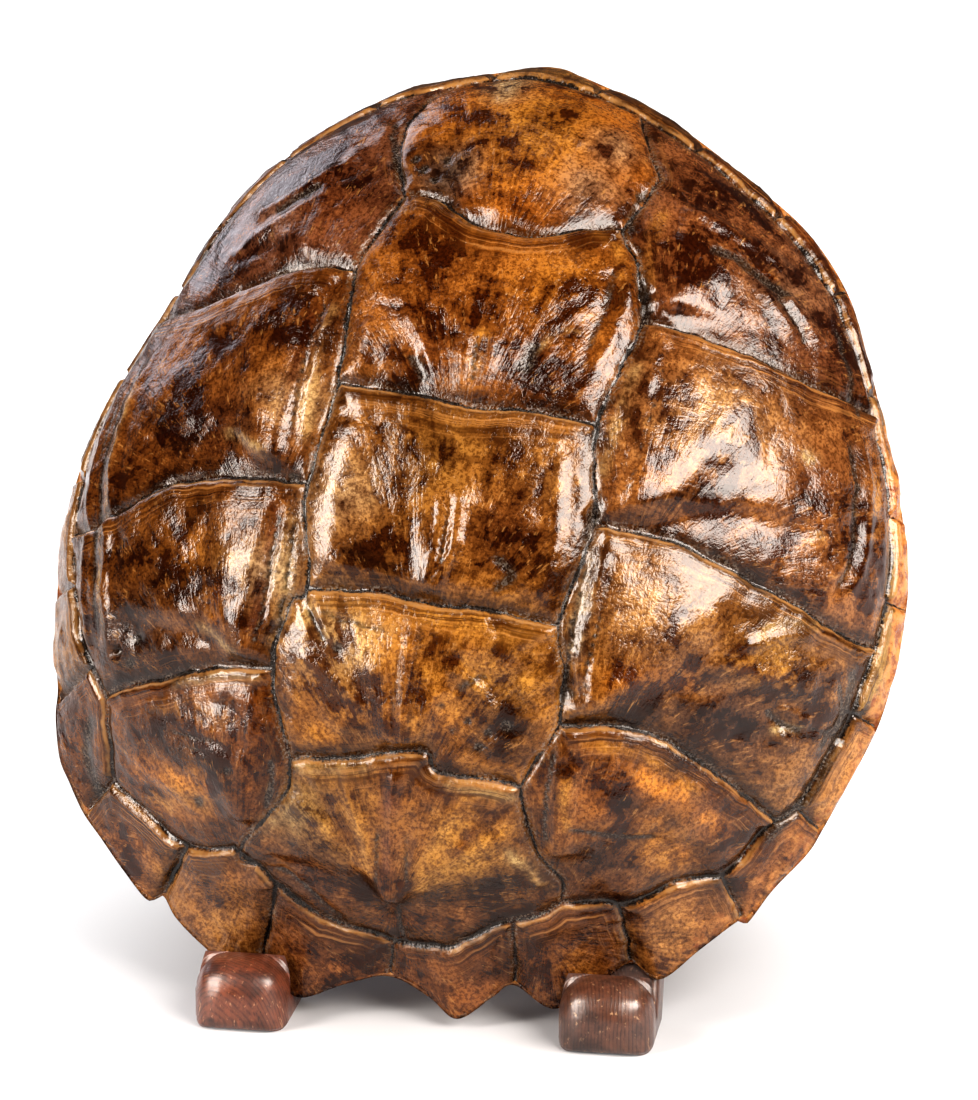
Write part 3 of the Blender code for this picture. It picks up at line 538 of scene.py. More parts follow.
# %% All of the relief
def lumps(points, size, octaves, seed):
    """A fractal noise over points of the surface, about -1 to 1."""
    shift = Vector((seed, 0, 0))
    return np.array([noise.fractal(Vector(p) / size + shift, 0.9, 2.0, octaves) for p in points])


def horn_relief(points, distance, young, surface):
    """Height of the horn over the smooth dome in metres, and the grime in its hollows."""
    far, plan = distance / MM, surface[:, :2] / MM
    # the pillow of each scute, less the groove of its seam, which is deeper in some places
    uneven = np.clip(1 + 0.9 * lumps(surface, 12 * MM, 2, 40), 0.35, 1.6)
    groove = 1.1 * np.exp(-(far / 0.7) ** 2) + 0.4 * np.exp(-(far / 2.2) ** 2)
    height = 2.1 * (1 - np.exp(-far / 12)) - uneven * groove
    # the lip of young horn behind a seam, and the old horn worn down in front of it
    lip = 0.95 * np.exp(-((far - 1.9) / 1.3) ** 2) + 0.6 * np.exp(-((far - 5) / 4) ** 2)
    height += np.clip(young, 0, 1) * lip
    height -= np.clip(-young, 0, 1) * 0.8 * np.exp(-(far / 4.5) ** 2)
    # everything in the tables
    inner = np.clip(far / 4, 0, 1)
    ridges, crease_grime = ridge_height(plan)
    pits, pit_grime = pit_height(plan)
    height += inner * (knob_height(plan) + fold_height(plan)) + ridges + pits
    # lumps all over, faint in the calm places, and crumpled horn toward the tail
    rough = np.clip(far / 6, 0.1, 1)
    for x, y, reach in CALM:
        rough *= 1 - 0.6 * np.exp(-((plan - (x, y)) ** 2).sum(1) / reach ** 2)
    height += rough * (0.8 * lumps(surface, 18 * MM, 2, 0) + 0.32 * lumps(surface, 5 * MM, 3, 9))
    crumpled = rough * np.clip((-48 - plan[:, 1]) / 50, 0, 1)
    creased = 0.34 * lumps(surface, 3.6 * MM, 2, 70) + 0.3 * lumps(surface, 9 * MM, 2, 50)
    height += crumpled * creased
    relief = MM * height * np.clip((1 - down_the_side(points)) / 0.03, 0, 1)
    return relief, np.maximum(crease_grime, pit_grime)


halfway = lift(to_map(np.array(RIM) * 0.5 * MM))
print("lumps halfway down:", np.round(lumps(halfway, 18 * MM, 2, 0)[:5], 2))


# %% [markdown]
# ## The fine mesh of the horn side
#
# The corners lie on the seams, in two rows beside each seam, and in a lattice in between. A
# constrained triangulation joins them, so the grooves stay crisp with few faces. A plain grid
# would need far more faces for the same seams, and would still leave them jagged.

# %% Corners and triangles
LATTICE_STEP, INNER_STEP = 1.45 * MM, 3.2 * MM
ROWS_BESIDE = (-1.7 * MM, -0.75 * MM, 0.75 * MM, 1.7 * MM)


def honeycomb(step, reach=190 * MM):
    """Points of a triangular lattice over a square of the map."""
    rise = step * math.sqrt(0.75)
    rows, columns = int(reach / rise) + 1, int(reach / step) + 1
    row, column = np.meshgrid(np.arange(-rows, rows + 1), np.arange(-columns, columns + 1),
                              indexing="ij")
    grid = np.stack([(column + 0.5 * (row % 2)) * step, row * rise], -1).reshape(-1, 2)
    return grid[down_the_side(grid) < 1 - 0.7 * step / (150 * MM)]


def one_in_a_cell(points, cell):
    """The points thinned to one in each square cell."""
    _, first = np.unique(np.round(points / cell).astype(int), axis=0, return_index=True)
    return points[np.sort(first)]


def beside_seams():
    """Two rows of points on each side of every seam."""
    rows = []
    for curve, _ in SEAMS:
        tangent = np.gradient(curve, axis=0)
        across = np.stack([-tangent[:, 1], tangent[:, 0]], -1)
        across /= np.maximum(np.linalg.norm(across, axis=1), 1e-9)[:, None]
        rows += [(curve + way * across, abs(way)) for way in ROWS_BESIDE]
    kept = []
    for points, away in rows:
        distance, _ = seam_reading(points)
        kept.append(points[(distance > 0.85 * away) & (down_the_side(points) < 0.992)])
    return one_in_a_cell(np.vstack(kept), 0.55 * MM)


def triangulate(loop, curves, points):
    """Corners, triangles, and the constrained edges, of a triangulation inside the loop."""
    verts, edges = [], []
    for curve in [np.vstack([loop, loop[:1]])] + curves:
        first = len(verts)
        verts.extend(curve)
        edges.extend((first + i, first + i + 1) for i in range(len(curve) - 1))
    verts.extend(points)
    out = delaunay_2d_cdt([Vector(v) for v in verts], edges, [], 1, 1e-6)
    walls = {tuple(sorted(edge)) for edge, source in zip(out[1], out[4]) if source}
    return np.array([tuple(v) for v in out[0]]), np.array([tuple(f) for f in out[2]]), walls


rim_angles = stations([bottom for _, bottom in MARGINAL_SEAMS], SEAM_STEP)
rim_loop = body_radius(np.radians(rim_angles))[:, None] * directions(rim_angles)
lattice = honeycomb(LATTICE_STEP)
lattice = lattice[seam_reading(lattice)[0] > 2.4 * MM]
map_points, horn_faces, walls = triangulate(
    rim_loop, [curve for curve, _ in SEAMS], np.vstack([beside_seams(), lattice]))
print("horn side:", len(map_points), "corners,", len(horn_faces), "triangles")

# %% The horn surface
seam_far, seam_young = seam_reading(map_points)
smooth_horn = lift(map_points)
relief, grime = horn_relief(map_points, seam_far, seam_young, smooth_horn)
horn = smooth_horn + relief[:, None] * normals(map_points)
highest = float(np.linalg.norm(horn - smooth_horn, axis=1).max())
print("relief of", round(highest / MM, 1), "mm at most")

# %% [markdown]
# ## Colours that follow the shell
#
# Each scute has its own tone, from orange amber at the neck to dark maroon at the shoulders. To
# know which scute a corner belongs to, the triangles are gathered into groups that no seam
# crosses. The tones go into a colour attribute, the distance from the seams into another, and the
# shader adds the blotches, lines and dust in between.

# %% Which scute is each triangle in
def scute_numbers(triangles, fences):
    """A group number for each triangle: neighbours share one unless a seam parts them."""
    parent = list(range(len(triangles)))

    def root(i):
        while parent[i] != i:
            parent[i] = parent[parent[i]]
            i = parent[i]
        return i

    first_at = {}
    for number, (a, b, c) in enumerate(triangles.tolist()):
        for edge in ((a, b), (b, c), (c, a)):
            edge = tuple(sorted(edge))
            if edge in fences:
                continue
            if edge in first_at:
                parent[root(number)] = root(first_at[edge])
            else:
                first_at[edge] = number
    return np.unique([root(i) for i in range(len(triangles))], return_inverse=True)[1]


scute = scute_numbers(horn_faces, walls)
print(scute.max() + 1, "scutes")

# %% The tone of each scute: the table
# The middle of the scute, x, y in millimetres seen from above; linear red, green, blue
TONES = [
    (5, 125, (0.32, 0.098, 0.016)), (5, 62, (0.27, 0.088, 0.017)), (3, -6, (0.25, 0.092, 0.020)),
    (0, -66, (0.34, 0.125, 0.024)), (-2, -122, (0.25, 0.088, 0.021)),
    (-75, 100, (0.150, 0.050, 0.022)), (-85, 30, (0.19, 0.060, 0.013)),
    (-85, -42, (0.17, 0.055, 0.012)), (-78, -100, (0.22, 0.067, 0.014)),
    (80, 95, (0.19, 0.064, 0.024)), (90, 28, (0.25, 0.090, 0.027)), (88, -45, (0.25, 0.098, 0.028)),
    (78, -98, (0.20, 0.065, 0.015)), (0, 160, (0.33, 0.14, 0.035)), (45, 152, (0.22, 0.080, 0.020)),
    (85, 127, (0.20, 0.065, 0.018)), (112, 98, (0.17, 0.050, 0.014)),
    (130, 62, (0.19, 0.060, 0.016)), (142, 25, (0.33, 0.15, 0.045)), (150, 3, (0.70, 0.42, 0.15)),
    (148, -30, (0.60, 0.33, 0.11)), (138, -72, (0.40, 0.16, 0.045)),
    (120, -106, (0.34, 0.12, 0.032)), (90, -140, (0.34, 0.125, 0.034)),
    (58, -153, (0.26, 0.085, 0.022)), (18, -160, (0.22, 0.070, 0.019)),
    (-28, -162, (0.22, 0.070, 0.019)), (-68, -155, (0.26, 0.092, 0.024)),
    (-100, -133, (0.23, 0.072, 0.016)), (-128, -95, (0.20, 0.062, 0.014)),
    (-143, -60, (0.27, 0.11, 0.032)), (-147, -20, (0.29, 0.12, 0.038)),
    (-143, 15, (0.29, 0.125, 0.04)), (-132, 48, (0.22, 0.085, 0.026)),
    (-115, 85, (0.17, 0.055, 0.019)), (-85, 128, (0.17, 0.055, 0.019)),
    (-50, 152, (0.21, 0.08, 0.024)),
]
print(len(TONES), "tones of scutes")

# %% Places that differ from their scute: the table
# x, y, radius, tone, strength; the pale places where the varnish reflects light are painted
# highlights
PLACES = [
    (4, 132, 20, (0.37, 0.15, 0.026), 0.8), (-20, 128, 12, (0.36, 0.12, 0.018), 0.6),
    # the pale grey patches at (33, 130), (28, 110) and (-20, 112) are painted highlights,
    # reflections of light from behind and above; the pale spot at (-10, 153) is a real scuff
    (-10, 153, 7, (0.70, 0.50, 0.30), 0.7), (33, 130, 8, (0.50, 0.34, 0.22), 0.4),
    (28, 110, 9, (0.45, 0.31, 0.21), 0.4), (-20, 112, 9, (0.30, 0.26, 0.22), 0.6),
    (-26, 116, 14, (0.06, 0.022, 0.010), 0.7), (32, 112, 12, (0.16, 0.07, 0.035), 0.5),
    (28, 72, 16, (0.36, 0.13, 0.020), 0.6), (-14, 44, 14, (0.12, 0.032, 0.010), 0.6),
    (26, 42, 13, (0.10, 0.026, 0.009), 0.8), (-30, 40, 9, (0.42, 0.17, 0.05), 0.6),
    # (-32, -8) is a painted highlight, where the varnish reflects the left lamp
    (-32, -8, 12, (0.44, 0.25, 0.13), 0.7), (-4, 8, 16, (0.27, 0.12, 0.028), 0.6),
    (24, -12, 17, (0.13, 0.036, 0.010), 0.7), (38, 6, 9, (0.42, 0.19, 0.06), 0.5),
    # (-28, -56) is a painted highlight
    (-28, -56, 13, (0.66, 0.40, 0.19), 0.8), (30, -58, 16, (0.52, 0.24, 0.055), 0.6),
    (32, -76, 10, (0.05, 0.020, 0.012), 0.8), (-34, -112, 8, (0.60, 0.40, 0.17), 0.7),
    (24, -118, 16, (0.42, 0.18, 0.034), 0.7), (-24, -106, 16, (0.42, 0.18, 0.034), 0.6),
    (-34, -134, 14, (0.13, 0.042, 0.018), 0.7), (26, -138, 14, (0.12, 0.040, 0.017), 0.7),
    (-80, 14, 16, (0.09, 0.026, 0.010), 0.7), (-62, 26, 12, (0.30, 0.10, 0.018), 0.6),
    (-88, -30, 12, (0.34, 0.12, 0.020), 0.7), (-104, -62, 16, (0.05, 0.020, 0.012), 0.8),
    (-66, -36, 10, (0.46, 0.22, 0.07), 0.5), (-72, -88, 12, (0.30, 0.10, 0.022), 0.6),
    (-78, -108, 10, (0.42, 0.17, 0.035), 0.7), (-88, -92, 8, (0.06, 0.022, 0.012), 0.7),
    # (84, 34) is a painted highlight, the broad pale reflection of the right lamp
    (84, 34, 18, (0.48, 0.25, 0.11), 0.7), (118, 22, 14, (0.10, 0.028, 0.010), 0.7),
    # (76, -28) is a painted highlight
    (72, 8, 10, (0.36, 0.13, 0.03), 0.6), (76, -28, 14, (0.42, 0.20, 0.08), 0.7),
    (104, -60, 16, (0.10, 0.034, 0.016), 0.7), (112, -36, 10, (0.40, 0.18, 0.035), 0.6),
    (60, -58, 10, (0.34, 0.12, 0.02), 0.6), (86, -106, 9, (0.46, 0.18, 0.034), 0.8),
    (66, -92, 12, (0.30, 0.10, 0.020), 0.6), (62, -112, 8, (0.06, 0.022, 0.012), 0.7),
    (100, -94, 9, (0.11, 0.034, 0.014), 0.7), (70, 92, 14, (0.24, 0.075, 0.018), 0.6),
    (96, 88, 14, (0.24, 0.12, 0.07), 0.6), (112, 60, 12, (0.08, 0.024, 0.012), 0.7),
    (-60, 96, 14, (0.20, 0.058, 0.015), 0.6), (-80, 92, 12, (0.20, 0.10, 0.07), 0.5),
    (-90, -138, 8, (0.42, 0.17, 0.04), 0.7), (58, -146, 8, (0.38, 0.14, 0.03), 0.6),
    (90, -134, 9, (0.46, 0.20, 0.06), 0.7), (-66, -150, 9, (0.44, 0.18, 0.045), 0.7),
    # (-55, 22) and (-54, -36) are painted highlights on the flat tops of the knobs
    (-55, 22, 10, (0.56, 0.34, 0.18), 0.6), (-54, -36, 9, (0.58, 0.38, 0.23), 0.6),
    (-104, -96, 9, (0.06, 0.022, 0.012), 0.6), (-66, -110, 10, (0.07, 0.026, 0.012), 0.5),
    (-112, -118, 8, (0.08, 0.026, 0.012), 0.5), (104, -112, 8, (0.07, 0.024, 0.012), 0.6),
    (60, -132, 8, (0.08, 0.026, 0.012), 0.6), (-44, -142, 9, (0.08, 0.028, 0.014), 0.5),
    (0, -142, 8, (0.09, 0.030, 0.014), 0.5), (88, -74, 12, (0.08, 0.028, 0.014), 0.6),
    (124, -44, 8, (0.07, 0.024, 0.012), 0.5),
]
print(len(PLACES), "places")

# %% Rays, bands and stains that run along a line: the table
GOLD, AMBER, CREAM = (0.50, 0.215, 0.045), (0.56, 0.195, 0.03), (0.64, 0.41, 0.19)
BLACK, MAROON = (0.05, 0.018, 0.010), (0.13, 0.034, 0.014)
# Points, half-width, tone, strength; a few pale ones are painted highlights
STREAKS = [
    ([(5, 54), (5, 34)], 2.5, GOLD, 0.6), ([(38, 58), (28, 55), (24, 47)], 0.9, CREAM, 0.8),
    ([(-36, 96), (-20, 98), (-4, 90)], 2.0, GOLD, 0.5),
    ([(30, 96), (42, 92), (46, 78)], 2.0, GOLD, 0.5), ([(80, 95), (94, 93)], 1.6, AMBER, 0.8),
    ([(54, 110), (53, 92), (56, 78)], 2.0, GOLD, 0.5),
    # these two pale streaks along the crests beside the knobs are painted highlights
    ([(-60, 2), (-72, 8), (-80, 10)], 1.4, CREAM, 0.6),
    ([(-61, -64), (-70, -60), (-80, -55)], 1.5, CREAM, 0.5),
    ([(-71, -42), (-69, -56)], 3.0, AMBER, 0.7),
    ([(-121, 30), (-125, 5), (-124, -30), (-116, -62)], 1.0, CREAM, 0.4),
    ([(-49, -12), (-48, -40), (-51, -62)], 2.2, CREAM, 0.35),
    ([(-48, 60), (-50, 36), (-49, 6)], 1.8, CREAM, 0.35),
    ([(-55, 58), (-57, 30), (-56, 8)], 2.0, MAROON, 0.7),
    ([(-55, -12), (-55, -36), (-57, -60)], 2.0, MAROON, 0.8),
    ([(-36, -46), (-10, -44), (20, -45), (40, -47)], 3.0, GOLD, 0.6),
    ([(-41, -45), (-34, -54), (-30, -59)], 2.0, CREAM, 0.7),
    ([(-39, -70), (-28, -76), (-17, -83)], 2.0, GOLD, 0.8),
    ([(-40, -63), (-30, -68), (-20, -74)], 1.6, GOLD, 0.7), ([(0, -44), (0, -88)], 0.9, BLACK, 0.7),
    ([(3, -50), (4, -85)], 2.2, GOLD, 0.5), ([(14, -52), (26, -56), (38, -54)], 3.0, MAROON, 0.6),
    ([(12, -86), (24, -85), (36, -86)], 3.0, BLACK, 0.6),
    ([(-24, -86), (-10, -84)], 3.0, BLACK, 0.6), ([(-36, -52), (-38, -60)], 2.6, GOLD, 0.5),
    ([(-5, -94), (-6, -115), (-6, -132)], 3.4, MAROON, 0.85),
    ([(-35, -113), (-29, -117), (-18, -124)], 2.6, GOLD, 0.85),
    ([(-24, -100), (-16, -114), (-10, -128)], 2.4, GOLD, 0.75),
    ([(22, -98), (12, -114), (2, -130)], 2.4, GOLD, 0.75),
    ([(38, -106), (22, -118), (4, -132)], 2.6, GOLD, 0.85),
    ([(-42, -122), (-24, -127), (-8, -134)], 3.0, BLACK, 0.7),
    ([(40, -124), (24, -127), (4, -136)], 3.5, BLACK, 0.7),
    ([(-30, -104), (-18, -118)], 1.6, MAROON, 0.7), ([(30, -102), (16, -118)], 1.6, MAROON, 0.7),
    ([(-30, -140), (-4, -142), (28, -138)], 4.0, (0.26, 0.085, 0.025), 0.6),
    ([(-41, -99), (-26, -97), (-12, -95)], 1.6, CREAM, 0.8),
    ([(12, -97), (38, -98)], 1.4, CREAM, 0.6),
    ([(-51, -120), (-44, -114), (-37, -112)], 2.4, CREAM, 0.6),
    ([(34, -114), (44, -121), (50, -125)], 2.2, CREAM, 0.6),
    ([(-88, -76), (-70, -72), (-52, -71)], 1.6, CREAM, 0.7),
    ([(-102, -100), (-90, -105), (-80, -106), (-66, -109)], 3.2, AMBER, 0.9),
    ([(-98, -112), (-86, -117)], 2.4, GOLD, 0.6), ([(-50, -94), (-49, -112)], 3.0, BLACK, 0.8),
    ([(-96, -86), (-80, -83), (-62, -85)], 3.0, GOLD, 0.6),
    ([(-94, -95), (-76, -97), (-60, -101)], 2.8, BLACK, 0.7),
    ([(-84, -124), (-70, -122), (-60, -118)], 3.0, BLACK, 0.6),
    ([(53, -14), (52, -32), (51, -52)], 2.2, (0.7, 0.55, 0.38), 0.7),
    ([(60, -57), (75, -52), (92, -52)], 3.6, AMBER, 0.8),
    ([(62, -66), (80, -63), (100, -61), (118, -64)], 4.0, BLACK, 0.75),
    ([(108, -30), (118, -26), (127, -24)], 1.4, CREAM, 0.8),
    ([(98, -41), (110, -44), (121, -42)], 3.4, GOLD, 0.8),
    ([(118, -62), (128, -61), (137, -61)], 0.9, BLACK, 0.9),
    ([(116, -62), (122, -59), (127, -59)], 1.0, CREAM, 0.9),
    ([(53, -87), (52, -96), (54, -104)], 1.6, GOLD, 0.8),
    ([(74, -84), (84, -86), (92, -87)], 3.4, AMBER, 0.85),
    ([(95, -92), (106, -96)], 3.0, AMBER, 0.8), ([(80, -102), (94, -106)], 3.0, AMBER, 0.75),
    ([(64, -91), (78, -94), (90, -97)], 3.0, BLACK, 0.75),
    ([(54, -110), (72, -114), (88, -116)], 3.0, BLACK, 0.7),
    ([(56, -77), (78, -78), (96, -86)], 2.0, GOLD, 0.6),
    ([(64, 1), (78, 7), (93, 13), (108, 16)], 2.6, BLACK, 0.75),
    # these two small pale spots on the right flank are painted highlights
    ([(113, 30), (117, 31)], 1.8, CREAM, 0.8), ([(121, 4), (124, 6)], 1.6, CREAM, 0.8),
    ([(128, 40), (132, 20), (133, 0)], 1.6, BLACK, 0.7),
    ([(136, 34), (139, 12), (137, -8)], 1.4, GOLD, 0.6),
    ([(57, 52), (54, 30), (52, 8)], 2.0, CREAM, 0.5),
    ([(-30, -26), (-20, -30), (-10, -34)], 4.0, BLACK, 0.6),
    ([(104, -8), (116, 0), (124, 16)], 3.0, AMBER, 0.6),
    ([(80, -8), (96, -13), (112, -19)], 2.4, (0.3, 0.2, 0.14), 0.6),
    ([(-112, 20), (-104, 8), (-90, 6)], 3.0, BLACK, 0.5),
    ([(-120, -66), (-106, -68), (-92, -66)], 4.0, BLACK, 0.6),
]
print(len(STREAKS), "streaks")

# %% Painting the corners
# The tables give each tone as it looks in the light; the bare horn under the varnish is darker
UNDER_VARNISH = (0.38, 0.41, 0.40)
plan_mm = smooth_horn[:, :2] / MM
middles = plan_mm[horn_faces].mean(1)
tone = np.zeros((len(map_points), 3))
weight = np.zeros(len(map_points))
for number in range(scute.max() + 1):
    members = scute == number
    middle = middles[members].mean(0)
    best = min(TONES, key=lambda tone_at: math.dist(tone_at[:2], middle))
    for corner in range(3):
        np.add.at(tone, horn_faces[members, corner], best[2])
        np.add.at(weight, horn_faces[members, corner], 1)
tone /= np.maximum(weight, 1)[:, None]
for x, y, radius, colour, strength in PLACES:
    ragged = 1 + 0.35 * lumps(smooth_horn, 9 * MM, 2, x)
    away = np.hypot(plan_mm[:, 0] - x, plan_mm[:, 1] - y)
    share = strength * np.exp(-(away / (radius * ragged)) ** 2)
    tone += share[:, None] * (np.array(colour) - tone)
for line, half_width, colour, strength in STREAKS:
    at, bump = near_line(plan_mm, line, half_width)
    ragged = np.clip(0.8 + 0.8 * lumps(smooth_horn[at], 6 * MM, 3, half_width), 0.1, 1)
    tone[at] += (strength * bump * ragged)[:, None] * (np.array(colour) - tone[at])
tone *= UNDER_VARNISH
print("tones from", np.round(tone.min(0), 3), "to", np.round(tone.max(0), 3))

# %% Bare bone at the rim
turn = np.degrees(np.arctan2(map_points[:, 1], map_points[:, 0]))
side_share = down_the_side(map_points)
# Bare stretches of the rim: how bare, direction and reach in degrees, where on the side it starts
BARE_RIM = [
    (1, 2, 20, 0.895, 0.02), (0.75, 60, 34, 0.955, 0.03), (1, 178, 26, 0.94, 0.03),
    (0.55, 92, 22, 0.93, 0.04), (0.5, -42, 26, 0.88, 0.10),
]
bone = np.zeros(len(map_points))
for strength, middle, width, start, fade in BARE_RIM:
    away = (np.abs(turn) if middle > 150 else turn) - middle
    bone += strength * np.exp(-(away / width) ** 2) * np.clip((side_share - start) / fade, 0, 1)
bone = np.clip(bone, 0, 1)
print("bare bone on", round(100 * float((bone > 0.5).mean()), 1), "% of the corners")

# %% The fan of lines that leaves each knob
# Where the fibres of each large scute run together, seen from above in millimetres
FANS = np.array([
    (4, 70), (5, 6), (3, -64), (-2, -112), (-4, -137), (-66, 50), (-60, -26), (-61, -92),
    (-58, -140), (68, 46), (64, -28), (58, -94), (48, -140)], float)
FAN_TO_MIDDLE = [0, 45]
middle_of = np.array([middles[scute == number].mean(0) for number in range(scute.max() + 1)])
owner = np.zeros(len(map_points), int)
owner[horn_faces.ravel()] = np.repeat(scute, 3)
nearest_fan = [np.hypot(*(FANS + FAN_TO_MIDDLE - middle).T).argmin() for middle in middle_of]
from_tip = plan_mm - FANS[nearest_fan][owner]
length = np.maximum(np.hypot(*from_tip.T), 0.5)
fan = np.stack([from_tip[:, 0] / length, from_tip[:, 1] / length, length / 100], -1)
print("fibres up to", round(float(length.max())), "mm long")

# %% [markdown]
# ## The hollow side and the rim
#
# Behind, the shell is bare bone: a thin dome with the ribs grown into it as low ridges. It gets a
# coarser lattice, because nothing on it is as fine as a seam. A rounded band joins the two sides.

# %% The bone surface
RIB_HEADS = [112, 78, 44, 10, -24, -56, -84, -108]
RIB_START, RIB_SPREAD, RIB_SIDE, RIB_REACH = 11 * MM, 0.28, 110 * MM, 0.86
SPINE_ENDS = (142 * MM, -140 * MM)


def rib_line(head, side, step):
    """The middle line of a rib on the map of the inner surface."""
    start = np.array([side * RIB_START, head * MM])
    angle = math.atan2(head * MM * (1 + RIB_SPREAD), side * RIB_SIDE)
    end = RIB_REACH * float(body_radius(angle)) * directions(math.degrees(angle))
    return spline([start, 0.5 * (start + end), end], step)


spine_line = spline(to_map([(0, SPINE_ENDS[0]), (0, 0), (0, SPINE_ENDS[1])]), 2 * MM)
rib_lines = [rib_line(head, side, 2 * MM) for head in RIB_HEADS for side in (-1, 1)]


def distance_to(points, lines):
    """Distance from each point to the nearest point of the lines."""
    spots = np.vstack(lines)
    tree = kdtree.KDTree(len(spots))
    for i, spot in enumerate(spots):
        tree.insert((*spot, 0), i)
    tree.balance()
    return np.array([tree.find((x, y, 0))[2] for x, y in points])


inner_map, bone_faces, _ = triangulate(rim_loop, [], honeycomb(INNER_STEP))
spine_far = distance_to(inner_map, [spine_line]) / MM
rib_far = distance_to(inner_map, rib_lines) / MM
rise = np.maximum(5.5 * np.exp(-(spine_far / 7) ** 2), 1.8 * np.exp(-(rib_far / 6.5) ** 2))
between = np.clip(rib_far / 9, 0, 1)
smooth_bone = lift(inner_map, inside=True)
rise = rise + 0.5 * lumps(smooth_bone, 16 * MM, 3, 30) - 0.35 * between
rise *= np.clip((1 - down_the_side(inner_map)) / 0.05, 0, 1)
hollow = smooth_bone - MM * rise[:, None] * normals(inner_map, inside=True)
print("hollow side:", len(hollow), "corners,", len(bone_faces), "triangles")

# %% One closed shell
RIM_ROUND = 1.1 * MM
RINGS = 4
SEAM_REACH = 25.0  # millimetres from a seam that the shader can tell apart


def put_attribute(mesh, name, kind, values):
    """Store one value for each corner point of a mesh."""
    field = {"FLOAT_COLOR": "color", "FLOAT_VECTOR": "vector", "FLOAT": "value"}[kind]
    attribute = mesh.attributes.new(name, kind, "POINT")
    attribute.data.foreach_set(field, np.asarray(values, np.float32).ravel())


def rim_band(outer, inner):
    """Rings of corners that round the edge from the horn side to the hollow side."""
    rings = []
    for k in range(1, RINGS):
        t = k / RINGS
        ring = outer + (inner - outer) * t
        ring[:, 2] -= RIM_ROUND * math.sin(math.pi * t)
        rings.append(ring)
    return rings


count = len(rim_loop)
horn[:count, 2] += RIM_ROUND
hollow[:count, 2] += RIM_ROUND
rings = rim_band(horn[:count], hollow[:count])
corners = np.vstack([horn, *rings, hollow])
inner_start = len(corners) - len(hollow)
starts = [0] + [len(horn) + k * count for k in range(RINGS - 1)] + [inner_start]
following = np.roll(np.arange(count), -1)
own = np.arange(count)
band = [np.stack([a + own, b + own, b + following, a + following], -1)
        for a, b in zip(starts[:-1], starts[1:])]
faces = horn_faces.tolist()
faces += (bone_faces[:, ::-1] + inner_start).tolist() + np.vstack(band).tolist()
mesh = bpy.data.meshes.new("carapace_shell")
mesh.from_pydata([SHELL @ Vector(c) for c in corners], [], faces)
mesh.shade_smooth()
padding = len(corners) - len(horn)


def padded(values, fill):
    """Values of the horn side, with one fill value for the rim band and the hollow side."""
    return np.vstack([values, np.tile(fill, (padding, 1))])


opaque_tone = np.hstack([tone, np.ones((len(horn), 1))])
put_attribute(mesh, "horn_tone", "FLOAT_COLOR", padded(opaque_tone, (0.4, 0.2, 0.08, 1)))
seam_share = np.clip(seam_far / (SEAM_REACH * MM), 0, 1)
reading = np.stack([seam_share, 0.5 + 0.5 * seam_young, bone, grime], -1)
put_attribute(mesh, "horn_map", "FLOAT_COLOR", padded(reading, (1, 0.5, 1, 0)))
put_attribute(mesh, "horn_fan", "FLOAT_VECTOR", padded(fan, (0, 1, 0.5)))
carapace = bpy.data.objects.new("carapace_shell", mesh)
bpy.context.scene.collection.objects.link(carapace)
check = bmesh.new()
check.from_mesh(mesh)
print("closed:", all(len(e.link_faces) == 2 for e in check.edges),
      "volume", round(check.calc_volume(signed=True) * 1e6), "cm3,", len(mesh.polygons), "faces")
check.free()


# %% [markdown]
# ## Painting with nodes
#
# A finish on a real thing is made of layers: the body colour, blotches in it, what wore it and
# what settled on it. A small helper adds one node at a time and hands back its output, so that a
# finish reads as a list of layers. Patterns sit on Object coordinates or on the shell's own
# attributes, so they stay where they are when the camera moves.

